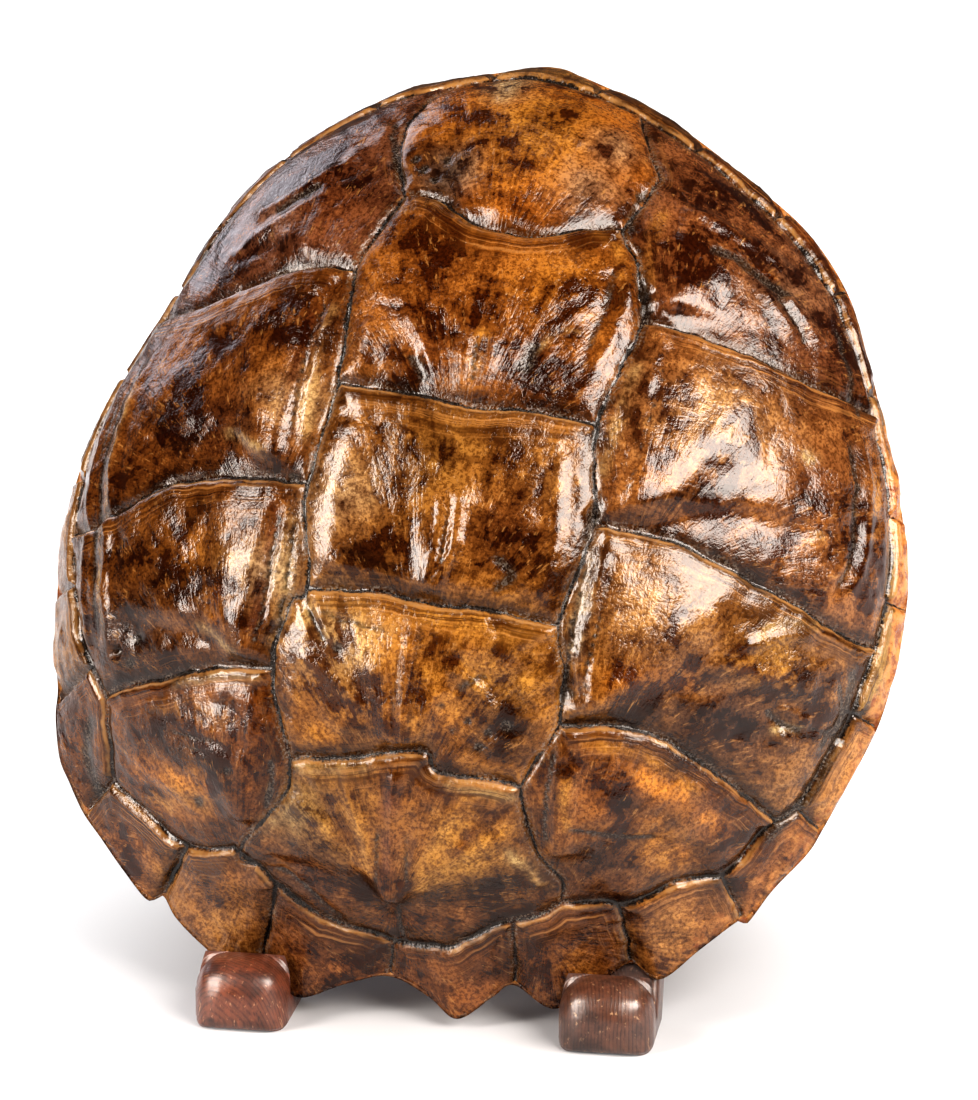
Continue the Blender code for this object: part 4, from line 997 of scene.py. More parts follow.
# %% A helper that wires materials
class Finish:
    """A material being wired: each method adds one node and returns its output."""

    def __init__(self, name):
        self.material = bpy.data.materials.new(name)
        self.material.use_nodes = True
        self.tree = self.material.node_tree
        self.shader = self.tree.nodes["Principled BSDF"]
        self.place = self.node("TexCoord", {}, "Object")

    def node(self, kind, inputs, output=0, **settings):
        new = self.tree.nodes.new("ShaderNode" + kind)
        for name, value in settings.items():
            setattr(new, name, value)
        for name, value in inputs.items():
            self.feed(new.inputs[name], value)
        return new.outputs[output]

    def feed(self, socket, value):
        if isinstance(value, bpy.types.NodeSocket):
            self.tree.links.new(value, socket)
        elif socket.type == "RGBA":
            socket.default_value = (*value[:3], 1)
        else:
            socket.default_value = value

    def maths(self, operation, a, b=0.0):
        return self.node("Math", {0: a, 1: b}, operation=operation)

    def times(self, a, b):
        return self.maths("MULTIPLY", a, b)

    def plus(self, a, b):
        return self.maths("ADD", a, b)

    def minus(self, a, b):
        return self.maths("SUBTRACT", a, b)

    def most(self, a, b):
        return self.maths("MAXIMUM", a, b)

    def ragged(self, value, pattern, amount):
        """The value shifted up and down by a pattern, so that an edge in it comes out ragged."""
        return self.plus(value, self.times(self.minus(pattern, 0.5), amount))

    def span(self, value, low, high, to_low=0.0, to_high=1.0):
        """A smooth step: from one number to another while the value goes from low to high."""
        inputs = {"Value": value, "From Min": low, "From Max": high, "To Min": to_low,
                  "To Max": to_high}
        return self.node("MapRange", inputs, interpolation_type="SMOOTHSTEP")

    def mix(self, share, a, b, blend="MIX"):
        inputs = {0: share, 6: a, 7: b}
        return self.node("Mix", inputs, 2, data_type="RGBA", blend_type=blend, clamp_factor=True)

    def tinted(self, colour, tint):
        return self.mix(1.0, colour, tint, "MULTIPLY")

    def speckle(self, at, scale, detail=3.0, roughness=0.55, distortion=0.0):
        inputs = {"Vector": at, "Scale": scale, "Detail": detail, "Roughness": roughness,
                  "Distortion": distortion}
        return self.node("TexNoise", inputs, "Fac")

    def attribute(self, name, output="Color"):
        return self.node("Attribute", {}, output, attribute_name=name)

    def parts(self, colour):
        """The red, green and blue of a colour, and the alpha of the node that it comes from."""
        split = self.tree.nodes.new("ShaderNodeSeparateColor")
        self.feed(split.inputs[0], colour)
        return [*split.outputs, colour.node.outputs["Alpha"]]

    def stretch(self, at, scale):
        return self.node("Mapping", {"Vector": at, "Scale": scale})

    def bump(self, height):
        return self.node("Bump", {"Height": height, "Distance": MM, "Strength": 1.0})

    def finish(self, colour, roughness, height=None, **others):
        if height is not None:
            others["Normal"] = self.bump(height)
        for name, value in {"Base Color": colour, "Roughness": roughness, **others}.items():
            self.feed(self.shader.inputs[name], value)
        return self.material


print("a finish can", ", ".join(name for name in vars(Finish) if name[0] != "_"))

# %% [markdown]
# ## The varnished horn
#
# The horn is brown and slightly see-through, so its colour comes in clouds from nearly black to
# amber. Fine pale lines run along the seams where the horn grew, streaks fan out of the knobs,
# the grooves hold black dirt and grey dust, and the edges show bare bone. Varnish lies over all.

# %% Horn: the readings and noises that its layers share
class HornFinish(Finish):
    """The horn's finish, with what several of its layers read."""

    def __init__(self):
        super().__init__("varnished_horn")
        fan = self.attribute("horn_fan", "Vector")
        seam, side, self.bone, self.grime = self.parts(self.attribute("horn_map"))
        self.tone = self.attribute("horn_tone")
        self.seam = self.times(seam, SEAM_REACH)
        self.young, self.old = self.span(side, 0.55, 0.90), self.span(side, 0.45, 0.10)
        self.clouds = self.speckle(self.place, 44.0, 3.0, 0.60, 0.6)
        self.mottle = self.speckle(self.place, 170.0, 4.0, 0.64, 0.4)
        self.grain = self.speckle(self.place, 800.0, 2.0, 0.70)
        self.slow = self.speckle(self.place, 75.0, 2.0)
        self.fibres = self.speckle(self.stretch(fan, (24.0, 24.0, 6.0)), 1.0, 3.0, 0.66, 0.3)
        self.strokes = self.speckle(self.stretch(fan, (60.0, 60.0, 24.0)), 1.0, 3.0, 0.60)
        self.dark = self.tinted(self.tone, (0.28, 0.19, 0.16))


horn_layers = HornFinish()
print("shared by the layers:", len(horn_layers.tree.nodes), "nodes")


# %% Horn: clouds from nearly black to amber
def cloudy_body(f):
    """Clouds and fibres in the scute's own tone, a coarse grain, dark specks and pale chips."""
    value = f.plus(f.times(f.clouds, 0.50), f.times(f.mottle, 0.30))
    value = f.plus(value, f.times(f.fibres, 0.20))
    body = f.mix(f.span(value, 0.44, 0.495), f.dark, f.tone)
    body = f.mix(f.span(value, 0.505, 0.57), body, f.tinted(f.tone, (1.8, 2.0, 2.1)))
    coarse, fine = f.tinted(body, (0.58, 0.52, 0.50)), f.tinted(body, (1.22, 1.25, 1.28))
    body = f.mix(f.span(f.grain, 0.36, 0.60), coarse, fine)
    specks = f.span(f.speckle(f.place, 520.0, 2.0, 0.65), 0.62, 0.70)
    body = f.mix(f.times(specks, 0.6), body, f.dark)
    # short pale strokes where the varnish has chipped along the fibres
    chips = f.times(f.span(f.strokes, 0.57, 0.65), f.span(f.mottle, 0.48, 0.58))
    return f.mix(f.times(chips, 0.45), body, (0.30, 0.16, 0.055))


horn_body = cloudy_body(horn_layers)
print("with the clouds:", len(horn_layers.tree.nodes), "nodes")


# %% Horn: growth lines, lips and dark ends beside the seams
def growth_lines(f, body):
    """Lines along the seams, strongest on the young side, and how far they stand up."""
    wavy = f.plus(f.seam, f.times(f.speckle(f.place, 120.0, 2.0), 1.6))
    across_seams = f.node("CombineXYZ", {"X": f.times(wavy, 0.95)})
    inputs = {0: f.stretch(f.place, (25, 25, 25)), 1: across_seams}
    lines = f.speckle(f.node("VectorMath", inputs, operation="ADD"), 1.0, 3.0, 0.75)
    near = f.times(f.span(f.seam, 12.0, 3.0), f.plus(0.2, f.times(f.young, 0.8)))
    patchy = f.times(near, f.span(f.slow, 0.36, 0.58, 0.25, 1.0))
    body = f.mix(f.times(patchy, 0.5), body, f.tinted(f.tone, (1.5, 1.6, 1.6)))
    body = f.mix(f.times(f.span(lines, 0.50, 0.38), f.times(near, 0.75)), body, f.dark)
    pale = f.times(f.span(lines, 0.53, 0.64), f.times(patchy, 0.75))
    return f.mix(pale, body, (0.30, 0.15, 0.05)), f.times(lines, f.times(near, 0.40))


def lips_and_ends(f, body):
    """The crisp pale lip just behind a seam, and the dark end of the scute in front of it."""
    ragged_seam = f.ragged(f.seam, f.mottle, 2.2)
    lip = f.times(f.span(f.seam, 0.45, 0.75), f.span(ragged_seam, 1.7, 0.9))
    lip = f.times(lip, f.plus(0.15, f.times(f.young, 0.85)))
    lip = f.times(lip, f.span(f.slow, 0.34, 0.56, 0.2, 0.85))
    body = f.mix(lip, body, (0.32, 0.175, 0.065))
    end = f.times(f.span(ragged_seam, 6.0, 1.0), f.plus(0.3, f.times(f.old, 0.7)))
    return f.mix(f.times(end, 0.8), body, f.tinted(body, (0.20, 0.15, 0.13)))


horn_body, standing_lines = growth_lines(horn_layers, horn_body)
horn_body = lips_and_ends(horn_layers, horn_body)
print("with the growth lines:", len(horn_layers.tree.nodes), "nodes")


# %% Horn: bare edges, dirt and dust
def bare_edges(f, body):
    """Bare bone at the rim, freckled with brown, and where it is."""
    freckles = f.span(f.speckle(f.place, 230.0, 3.0, 0.7), 0.42, 0.62)
    raw = f.mix(freckles, (0.36, 0.165, 0.048), (0.17, 0.050, 0.012))
    bare = f.span(f.ragged(f.bone, f.mottle, 1.3), 0.30, 0.74)
    return f.mix(bare, body, raw), bare


def dirt_and_dust(f, body):
    """Dirt in the grooves, creases and pits, grey dust on it, and where the dirt is."""
    rough_seam = f.ragged(f.ragged(f.seam, f.grain, 1.5), f.slow, 2.0)
    in_hollows = f.span(f.plus(f.grime, f.minus(f.mottle, 0.5)), 0.25, 0.85, 0.0, 0.85)
    dirt = f.most(f.span(rough_seam, 0.62, 0.18), in_hollows)
    body = f.mix(dirt, body, (0.012, 0.008, 0.006))
    powder = f.span(f.speckle(f.place, 1100.0, 1.0, 0.7), 0.50, 0.62)
    dusty = f.times(f.span(rough_seam, 2.6, 0.9), f.minus(0.8, f.times(f.young, 0.5)))
    dusty = f.times(dusty, f.span(f.slow, 0.40, 0.60, 0.15, 1.0))
    dusty = f.most(dusty, f.times(f.span(f.grime, 0.3, 0.8), 0.45))
    return f.mix(f.times(f.times(dusty, 0.7), powder), body, (0.17, 0.145, 0.12)), dirt


horn_body, bare_bone = bare_edges(horn_layers, horn_body)
horn_body, horn_dirt = dirt_and_dust(horn_layers, horn_body)
print("with the dirt:", len(horn_layers.tree.nodes), "nodes")


# %% Horn: the skin and its varnish
def varnished(f, body, standing, dull):
    """The dull horn with its fine relief, under glossy varnish that follows the same relief."""
    roughness = f.plus(f.span(f.mottle, 0.35, 0.65, 0.38, 0.55), f.times(dull, 0.25))
    height = f.plus(f.times(f.mottle, 0.75), f.times(f.grain, 0.22))
    height = f.plus(f.plus(height, f.times(f.fibres, 0.40)), standing)
    # the varnish fills the relief in some places, so it is faint there
    unfilled = f.span(f.speckle(f.place, 30.0, 2.0), 0.42, 0.60, 0.38, 1.0)
    skin = f.bump(f.times(height, unfilled))
    varnish = {"Coat Weight": 1.0, "Coat Roughness": 0.13, "Coat IOR": 1.46, "Coat Normal": skin}
    return f.finish(body, roughness, **{"Normal": skin, "Specular IOR Level": 0.0, **varnish})


HORN = varnished(horn_layers, horn_body, standing_lines, horn_layers.most(horn_dirt, bare_bone))
print(HORN.name, len(HORN.node_tree.nodes), "nodes")


# %% [markdown]
# ## The bare bone of the hollow
#
# Cleaned bone is cream, browner where fat stayed in it, with fine pores. It is made of plates
# that meet in wavy joints, which read as thin dark lines.

# %% Bone
def bone_finish():
    """Dry bone with stains, pores and plate joints."""
    f = Finish("dry_bone")
    stains = f.speckle(f.place, 26.0, 5.0, 0.6, 0.5)
    mottle = f.speckle(f.place, 190.0, 4.0, 0.65)
    body = f.mix(f.span(stains, 0.38, 0.66), (0.62, 0.44, 0.24), (0.36, 0.20, 0.085))
    body = f.mix(f.span(mottle, 0.55, 0.75, 0.0, 0.5), body, (0.24, 0.12, 0.05))
    cells = f.node("TexVoronoi", {"Vector": f.place, "Scale": 24.0, "Randomness": 0.85}, "Distance",
                   feature="DISTANCE_TO_EDGE")
    joint = f.span(f.ragged(cells, mottle, 0.10), 0.020, 0.004)
    body = f.mix(f.times(joint, 0.5), body, (0.17, 0.09, 0.045))
    pores = f.span(f.speckle(f.place, 1300.0, 2.0), 0.62, 0.70)
    body = f.mix(f.times(pores, 0.5), body, (0.16, 0.08, 0.04))
    rough = f.span(stains, 0.3, 0.7, 0.50, 0.68)
    height = f.plus(f.times(mottle, 0.25), f.times(pores, -0.12))
    height = f.minus(height, f.times(joint, 0.25))
    return f.finish(body, rough, height)


BONE = bone_finish()
mesh.materials.append(HORN)
mesh.materials.append(BONE)
slots = np.ones(len(mesh.polygons), np.int32)
slots[:len(horn_faces)] = 0
# the first ring of the rim band is horn too
slots[len(horn_faces) + len(bone_faces):][:count] = 0
mesh.polygons.foreach_set("material_index", slots)
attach(carapace, "root")
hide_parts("carapace")
print("the shell is painted")


# %% [markdown]
# ## The arms
#
# Each arm is one board: a toe like a small loaf, a notch for the rim, and a leaning part. The
# side outline is pushed out to the board's width, and every edge gets its own rounding, wide on
# the toe and narrow elsewhere. That is what a carpenter does with a router and sandpaper.

# %% Boards with rounded edges
GAP = 0.3 * MM
ARM_THICKNESS, ARM_TOP, ARM_TOP_SLANT = 17 * MM, 149 * MM, 24 * MM
TOE_HEIGHT, TOE_BACK = 24 * MM, 16.5 * MM
NOTCH_FLOOR, NOTCH_FRONT, NOTCH_RISE = 9.0 * MM, 16.6 * MM, 0.4 * MM
TOE_ROUND, FRONT_ROUND, EDGE_ROUND, SOLE_ROUND = 12.0 * MM, 11.5 * MM, 2.4 * MM, 6.0 * MM
NOTCH_EDGE_ROUND, ARM_STEPS = 0.3 * MM, 10


def rim_plane(along, behind=0.0):
    """A point (y, z) on the rim's plane, or behind it, measured up from the crown's axis."""
    y = SHELL_PLACE.y + along * math.sin(LEAN) + behind * math.cos(LEAN)
    z = SHELL_PLACE.z + along * math.cos(LEAN) - behind * math.sin(LEAN)
    return y, z


def plane_at_height(z, behind):
    """The y of a plane behind the rim's plane, at a height."""
    foot, level = rim_plane(0, behind)
    return foot + (z - level) * math.tan(LEAN)


def board(name, outline, middle_x, width, rounding, largest, steps, shape=None):
    """A side outline (y, z) pushed out to a width along x, with its edges rounded."""
    bm = bmesh.new()
    side = bm.faces.new([bm.verts.new((middle_x - width / 2, y, z)) for y, z in outline])
    pushed = bmesh.ops.extrude_face_region(bm, geom=[side])
    moved = [item for item in pushed["geom"] if isinstance(item, bmesh.types.BMVert)]
    bmesh.ops.translate(bm, vec=(width, 0, 0), verts=moved)
    bmesh.ops.recalc_face_normals(bm, faces=bm.faces)
    if shape:
        shape(bm)
    weight = bm.edges.layers.float.new("bevel_weight_edge")
    for edge in bm.edges:
        edge[weight] = rounding(edge) / largest
    rough = bpy.data.meshes.new(name + "_rough")
    bm.to_mesh(rough)
    bm.free()
    piece = bpy.data.objects.new(name + "_rough", rough)
    bpy.context.scene.collection.objects.link(piece)
    bevel = piece.modifiers.new("rounding", "BEVEL")
    bevel.width, bevel.segments = largest, steps
    bevel.limit_method, bevel.miter_outer = "WEIGHT", "MITER_ARC"
    graph = bpy.context.evaluated_depsgraph_get()
    finished = bpy.data.meshes.new_from_object(piece.evaluated_get(graph))
    bpy.data.objects.remove(piece)
    finished.name = name
    finished.shade_smooth()
    finished.set_sharp_from_angle(angle=math.radians(35))
    result = bpy.data.objects.new(name, finished)
    bpy.context.scene.collection.objects.link(result)
    return result


print("the arms' top:", [round(v / MM, 1) for v in rim_plane(ARM_TOP, GAP)], "mm")


# %% The two arms
def arm_round(edge):
    """Rounding of an arm's edge: wide on the toe's top, narrow elsewhere, none in the notch."""
    a, b = ((v.co - STAND) for v in edge.verts)
    across = abs(a.x - b.x) > MM
    on_toe = max(a.y, b.y) < TOE_BACK + MM and max(a.z, b.z) < TOE_HEIGHT + MM
    in_notch = TOE_BACK < a.y < plane_at_height(a.z, GAP) - STAND.y + MM
    if across and in_notch and MM < a.z < TOE_HEIGHT - MM:
        return 0
    if not on_toe:
        return EDGE_ROUND
    if min(a.z, b.z) > TOE_HEIGHT - MM:
        return NOTCH_EDGE_ROUND if across and a.y > MM else TOE_ROUND
    if max(a.y, b.y) < MM and not across:
        return FRONT_ROUND
    return SOLE_ROUND if max(a.z, b.z) < MM else EDGE_ROUND


def arm_piece(side):
    """One arm of the stand: side is -1 for the left one and 1 for the right one."""
    back, notch_top = GAP + ARM_THICKNESS, NOTCH_FLOOR + NOTCH_RISE
    outline = [
        (STAND.y, 0), (STAND.y, TOE_HEIGHT), (STAND.y + TOE_BACK, TOE_HEIGHT),
        (STAND.y + NOTCH_FRONT, NOTCH_FLOOR), (plane_at_height(notch_top, GAP), notch_top),
        rim_plane(ARM_TOP, GAP), rim_plane(ARM_TOP, back), (plane_at_height(0, back), 0),
    ]
    middle = STAND.x + side * ARM_X

    def slant(bm):
        """Saw the arm's top off at a slant, lower on its outer side."""
        for vert in bm.verts:
            if vert.co.z > TOE_HEIGHT + MM and (vert.co.x - middle) * side > 0:
                vert.co -= Vector((0, math.sin(LEAN), math.cos(LEAN))) * ARM_TOP_SLANT

    return board("left_arm_board" if side < 0 else "right_arm_board", outline, middle, ARM_WIDTH,
                 arm_round, TOE_ROUND, ARM_STEPS, slant)


arms = {side: arm_piece(side) for side in (-1, 1)}
print([(a.name, len(a.data.polygons)) for a in arms.values()])


# %% [markdown]
# ## Stained wood
#
# The grain runs up the leaning part, so the toe's front cuts it at a slant and shows long streaks
# on one side and curved rings on the other. Rings are circles about the heart of the tree, which
# lies outside the board. The stain is darkest in the late wood and is rubbed off at the edges.

# %% Wood
def wood_finish(name, heart, turn, stain, sheen=0.30):
    """Stained wood with rings round a heart line, pores along the grain and rubbed edges."""
    early, late, worn = stain
    f = Finish(name)
    at = f.node("Mapping", {"Vector": f.place, "Location": tuple(-v for v in heart)},
                vector_type="POINT")
    at = f.node("VectorRotate", {"Vector": at, "Angle": turn[1]}, rotation_type=turn[0])
    axes = f.node("SeparateXYZ", {"Vector": at}).node.outputs
    # rings, pores and streaks
    slow = f.speckle(f.stretch(at, (60, 60, 9)), 1.0, 3.0)
    reach = f.maths("SQRT", f.plus(f.times(axes[0], axes[0]), f.times(axes[1], axes[1])))
    reach = f.plus(f.times(reach, 1000.0), f.times(slow, 3.2))
    ring = f.span(f.maths("SINE", f.times(reach, 5.0)), -0.2, 1.0)
    pores = f.speckle(f.stretch(at, (1500, 1500, 70)), 1.0, 4.0, 0.7)
    streaks = f.speckle(f.stretch(at, (420, 420, 16)), 1.0, 3.0, 0.6)
    body = f.mix(f.times(ring, 0.6), early, late)
    body = f.mix(f.span(streaks, 0.42, 0.70, 0.0, 0.55), body, f.tinted(early, (1.7, 1.6, 1.5)))
    body = f.mix(f.span(pores, 0.56, 0.70, 0.0, 0.8), body, (0.018, 0.009, 0.006))
    # flecks and blots of the stain, and wood that is rubbed bare at the edges
    flecks = f.span(f.speckle(f.stretch(at, (700, 700, 130)), 1.0, 3.0, 0.6), 0.62, 0.70)
    body = f.mix(f.times(flecks, 0.6), body, worn)
    blots = f.speckle(f.place, 70.0, 4.0, 0.6)
    blotted = f.tinted(body, (0.32, 0.27, 0.28))
    body = f.mix(f.span(blots, 0.46, 0.66, 0.0, 0.85), body, blotted)
    edge = f.ragged(f.attribute("rubbed", "Fac"), f.speckle(f.place, 420.0, 4.0), 1.1)
    body = f.mix(f.span(edge, 0.55, 0.95, 0.0, 0.75), body, worn)
    height = f.plus(f.times(ring, 0.03), f.times(pores, -0.07))
    height = f.plus(height, f.times(blots, 0.15))
    roughness = f.span(blots, 0.3, 0.7, sheen, sheen + 0.2)
    return f.finish(body, roughness, height, **{"Coat Weight": 0.6, "Coat Roughness": 0.26})


def mark_rubbed(piece, reach=1.8 * MM):
    """Store how near each corner is to an edge where two faces of the board meet."""
    low, high = (np.array(v) for v in (piece.bound_box[0], piece.bound_box[6]))
    x, y, z = np.array([v.co for v in piece.data.vertices]).T
    to_faces = np.stack([x - low[0], high[0] - x, y - low[1], z - low[2]], -1)
    second = np.sort(to_faces, axis=1)[:, 1]
    put_attribute(piece.data, "rubbed", "FLOAT", np.exp(-second / reach))


# Each stain: early wood, late wood, and wood rubbed bare. The heart of each arm's tree is a point
# outside the board, so the two toes show different grain.
LEFT_STAIN = (0.105, 0.034, 0.017), (0.040, 0.012, 0.008), (0.36, 0.20, 0.11)
RIGHT_STAIN = (0.070, 0.030, 0.018), (0.025, 0.010, 0.008), (0.36, 0.23, 0.13)
LEFT_HEART = (STAND.x - ARM_X - 0.020, STAND.y, -0.098)
RIGHT_HEART = (STAND.x + ARM_X - 0.060, STAND.y, 0.012)
UP_THE_ARM = ("X_AXIS", -LEAN)
WOODS = {-1: wood_finish("left_arm_wood", LEFT_HEART, UP_THE_ARM, LEFT_STAIN),
         1: wood_finish("right_arm_wood", RIGHT_HEART, UP_THE_ARM, RIGHT_STAIN)}
for side, arm in arms.items():
    mark_rubbed(arm)
    arm.data.materials.append(WOODS[side])
    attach(arm, "root")
    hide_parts("left_arm" if side < 0 else "right_arm")
print("arms stained")

# %% [markdown]
# ## Rails and leg
#
# Two rails tie the arms together and a leg stands behind. They are plain boards with eased edges,
# sawn from the same dark stock, with the grain along their length.

# %% Rails and leg
RAIL_LENGTH, RAIL_HEIGHT, RAIL_THICKNESS = 158 * MM, 28 * MM, 12 * MM
RAIL_ROUND, RAIL_STEPS = 1.8 * MM, 5
RAIL_PLACES = {"top_rail": 100 * MM, "bottom_rail": -104 * MM}
LEG_WIDTH, LEG_TOP, LEG_FOOT = 30 * MM, 15 * MM, (168 * MM, 186 * MM)
rail_front = GAP + ARM_THICKNESS + GAP


def rail_outline(along):
    """A rail seen from the side."""
    low, high = along - RAIL_HEIGHT / 2, along + RAIL_HEIGHT / 2
    front, back = rail_front, rail_front + RAIL_THICKNESS
    return [rim_plane(low, front), rim_plane(high, front), rim_plane(high, back),
            rim_plane(low, back)]


def leg_outline():
    """The leg seen from the side: flush against the top rail, and wider at its foot."""
    behind = rail_front + RAIL_THICKNESS + GAP
    low = rim_plane(RAIL_PLACES["top_rail"] - RAIL_HEIGHT / 2, behind)
    high = rim_plane(RAIL_PLACES["top_rail"] + RAIL_HEIGHT / 2, behind)
    foot_front, foot_back = ((STAND.y + y, 0) for y in LEG_FOOT)
    return [foot_front, low, high, (high[0] + LEG_TOP, high[1]), foot_back]


RAIL_STAIN = (0.150, 0.052, 0.025), (0.055, 0.017, 0.010), (0.30, 0.16, 0.08)
LEG_STAIN = (0.145, 0.050, 0.024), (0.055, 0.017, 0.010), (0.30, 0.16, 0.08)
ACROSS, UPRIGHT, SATIN = ("Y_AXIS", math.radians(90)), ("X_AXIS", 0), 0.40
RAIL_WOOD = wood_finish("rail_wood", (0, 0, 0), ACROSS, RAIL_STAIN, SATIN)
LEG_WOOD = wood_finish("leg_wood", (-0.03, 0.05, 0), UPRIGHT, LEG_STAIN, SATIN)
boards = [(name, rail_outline(along), RAIL_LENGTH, RAIL_WOOD)
          for name, along in RAIL_PLACES.items()]
for name, outline, width, wood in boards + [("back_leg", leg_outline(), LEG_WIDTH, LEG_WOOD)]:
    piece = board(name + "_board", outline, STAND.x, width, lambda edge: RAIL_ROUND, RAIL_ROUND,
                  RAIL_STEPS)
    mark_rubbed(piece)
    piece.data.materials.append(wood)
    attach(piece, "root")
    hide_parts(name)
    print(piece.name, len(piece.data.polygons), "faces")


# %% [markdown]
# ## Geometry Nodes: a tree that sweeps bone rods
#
# The backbone and the ribs follow paths, so one node tree makes both. It sweeps a round profile
# along each path and lets the radius swell and narrow, which turns the backbone into a row of
# spool-shaped vertebrae, and each rib into a rod that is thick at its head and thin at its end.

# %% Helpers that build a node tree and run it
def new_tree(name, sizes):
    """An empty tree with a geometry input, named number inputs and a geometry output."""
    tree = bpy.data.node_groups.new(name, "GeometryNodeTree")
    tree.interface.new_socket("Geometry", in_out="INPUT", socket_type="NodeSocketGeometry")
    sockets = {}
    for label, value in sizes.items():
        kind = "NodeSocketInt" if isinstance(value, int) else "NodeSocketFloat"
        socket = tree.interface.new_socket(label, in_out="INPUT", socket_type=kind)
        socket.default_value = value
        sockets[label] = socket.identifier
    tree.interface.new_socket("Geometry", in_out="OUTPUT", socket_type="NodeSocketGeometry")
    return tree, tree.nodes.new("NodeGroupInput"), tree.nodes.new("NodeGroupOutput"), sockets


def wire(tree, kind, inputs, **settings):
    """Add one node, feed its inputs, and return it."""
    new = tree.nodes.new(kind)
    for name, value in settings.items():
        setattr(new, name, value)
    for name, value in inputs.items():
        if isinstance(value, bpy.types.NodeSocket):
            tree.links.new(value, new.inputs[name])
        else:
            new.inputs[name].default_value = value
    return new


def tree_maths(tree, operation, a, b=0.0, clamp=False):
    """Add one maths node and return its result."""
    new = wire(tree, "ShaderNodeMath", {0: a, 1: b}, operation=operation, use_clamp=clamp)
    return new.outputs[0]


def end_tree(tree, output, geometry, material):
    """Realize the instances, set the material and end the tree."""
    real = wire(tree, "GeometryNodeRealizeInstances", {"Geometry": geometry})
    painted = wire(tree, "GeometryNodeSetMaterial",
                   {"Geometry": real.outputs[0], "Material": material})
    tree.links.new(painted.outputs[0], output.inputs["Geometry"])


def grown(name, base_mesh, tree, sockets, sizes, smooth=True):
    """Run a tree on a mesh and keep the result as a plain mesh that rides on the frame."""
    base = bpy.data.objects.new(name + "_base", base_mesh)
    bpy.context.scene.collection.objects.link(base)
    modifier = base.modifiers.new(name, "NODES")
    modifier.node_group = tree
    for label, value in sizes.items():
        modifier[sockets[label]] = value
    graph = bpy.context.evaluated_depsgraph_get()
    made = bpy.data.meshes.new_from_object(base.evaluated_get(graph))
    bpy.data.objects.remove(base)
    made.name = name
    if smooth:
        made.shade_smooth()
    piece = bpy.data.objects.new(name, made)
    bpy.context.scene.collection.objects.link(piece)
    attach(piece, "root")
    print(name, len(made.vertices), "corners")
    return piece


trial, *_, trial_sockets = new_tree("trial", {"Size": 1.0})
print("a tree's number input goes by its identifier:", trial_sockets)
bpy.data.node_groups.remove(trial)


# %% The tree of the bone rods
def rod_tree():
    """Sweeps a round profile along each chain of edges, with swellings and a taper."""
    tree, source, output, sockets = new_tree(
        "bone_rods", {"Radius": 0.004, "Swellings": 1, "Waist": 0.3, "End share": 0.4, "Sides": 12})
    curve = wire(tree, "GeometryNodeMeshToCurve", {"Mesh": source.outputs["Geometry"]})
    along = wire(tree, "GeometryNodeSplineParameter", {})
    turns = tree_maths(tree, "MULTIPLY", along.outputs["Factor"], source.outputs["Swellings"])
    wave = tree_maths(tree, "SINE", tree_maths(tree, "MULTIPLY", turns, math.pi))
    waist = tree_maths(tree, "ABSOLUTE", wave)
    waist = tree_maths(tree, "MULTIPLY", waist, source.outputs["Waist"])
    full = tree_maths(tree, "SUBTRACT", 1.0, waist)
    taper = wire(tree, "ShaderNodeMapRange", {"Value": along.outputs["Factor"], "To Min": 1.0,
                                             "To Max": source.outputs["End share"]})
    share = tree_maths(tree, "MULTIPLY", full, taper.outputs[0])
    ring = wire(tree, "GeometryNodeCurvePrimitiveCircle",
                {"Resolution": source.outputs["Sides"], "Radius": source.outputs["Radius"]})
    swept = wire(tree, "GeometryNodeCurveToMesh", {
        "Curve": curve.outputs[0], "Profile Curve": ring.outputs[0], "Scale": share,
        "Fill Caps": True})
    end_tree(tree, output, swept.outputs[0], BONE)
    return tree, sockets


def chains(name, lines):
    """A mesh of open chains of edges through the points of each line."""
    points = [Vector(p) for line in lines for p in line]
    edges, first = [], 0
    for line in lines:
        edges += [(first + i, first + i + 1) for i in range(len(line) - 1)]
        first += len(line)
    made = bpy.data.meshes.new(name)
    made.from_pydata(points, edges, [])
    return made


RODS, ROD_SIZES = rod_tree()
print("tree", RODS.name, "with inputs", list(ROD_SIZES))

# %% [markdown]
# ## The backbone and the ribs
#
# The backbone is fused to the shell's inside along the middle. Each rib leaves it in a short free
# arch and then sinks into the bone, so only its back shows.

# %% Backbone and ribs
def inside_point(points, stand_off):
    """Points of the map placed in the hollow, so far off the bone."""
    stand_off = np.asarray(stand_off, float).reshape(-1, 1)
    placed = lift(points, inside=True) - stand_off * normals(points, inside=True)
    return [SHELL @ Vector(p) for p in placed]


BACKBONE_OFF, RIB_OFF, RIB_HEAD_OFF, RIB_STEP = 6.0 * MM, 1.0 * MM, 5.2 * MM, 3 * MM
BACKBONE_SIZES = {"Radius": 5.4 * MM, "Swellings": 9, "Waist": 0.36, "End share": 0.62, "Sides": 14}
RIB_SIZES = {"Radius": 2.7 * MM, "Swellings": 1, "Waist": 0.12, "End share": 0.42, "Sides": 10}
spine_plan = np.array([(0, 134), (0, 60), (0, -60), (0, -132)]) * MM
spine_points = spline(to_map(spine_plan), 1.6 * MM)
backbone_path = chains("backbone_path", [inside_point(spine_points, BACKBONE_OFF)])
backbone = grown("backbone", backbone_path, RODS, ROD_SIZES, BACKBONE_SIZES)
rib_paths = []
for head in RIB_HEADS:
    for side in (-1, 1):
        line = rib_line(head, side, RIB_STEP)
        line = np.vstack([[side * 2 * MM, (head + 4) * MM], line])
        run = np.arange(len(line)) * RIB_STEP
        arch = np.exp(-(run / (9 * MM)) ** 2)
        rib_paths.append(inside_point(line, RIB_OFF + RIB_HEAD_OFF * arch))
ribs = grown("rib_rods", chains("rib_paths", rib_paths), RODS, ROD_SIZES, RIB_SIZES)


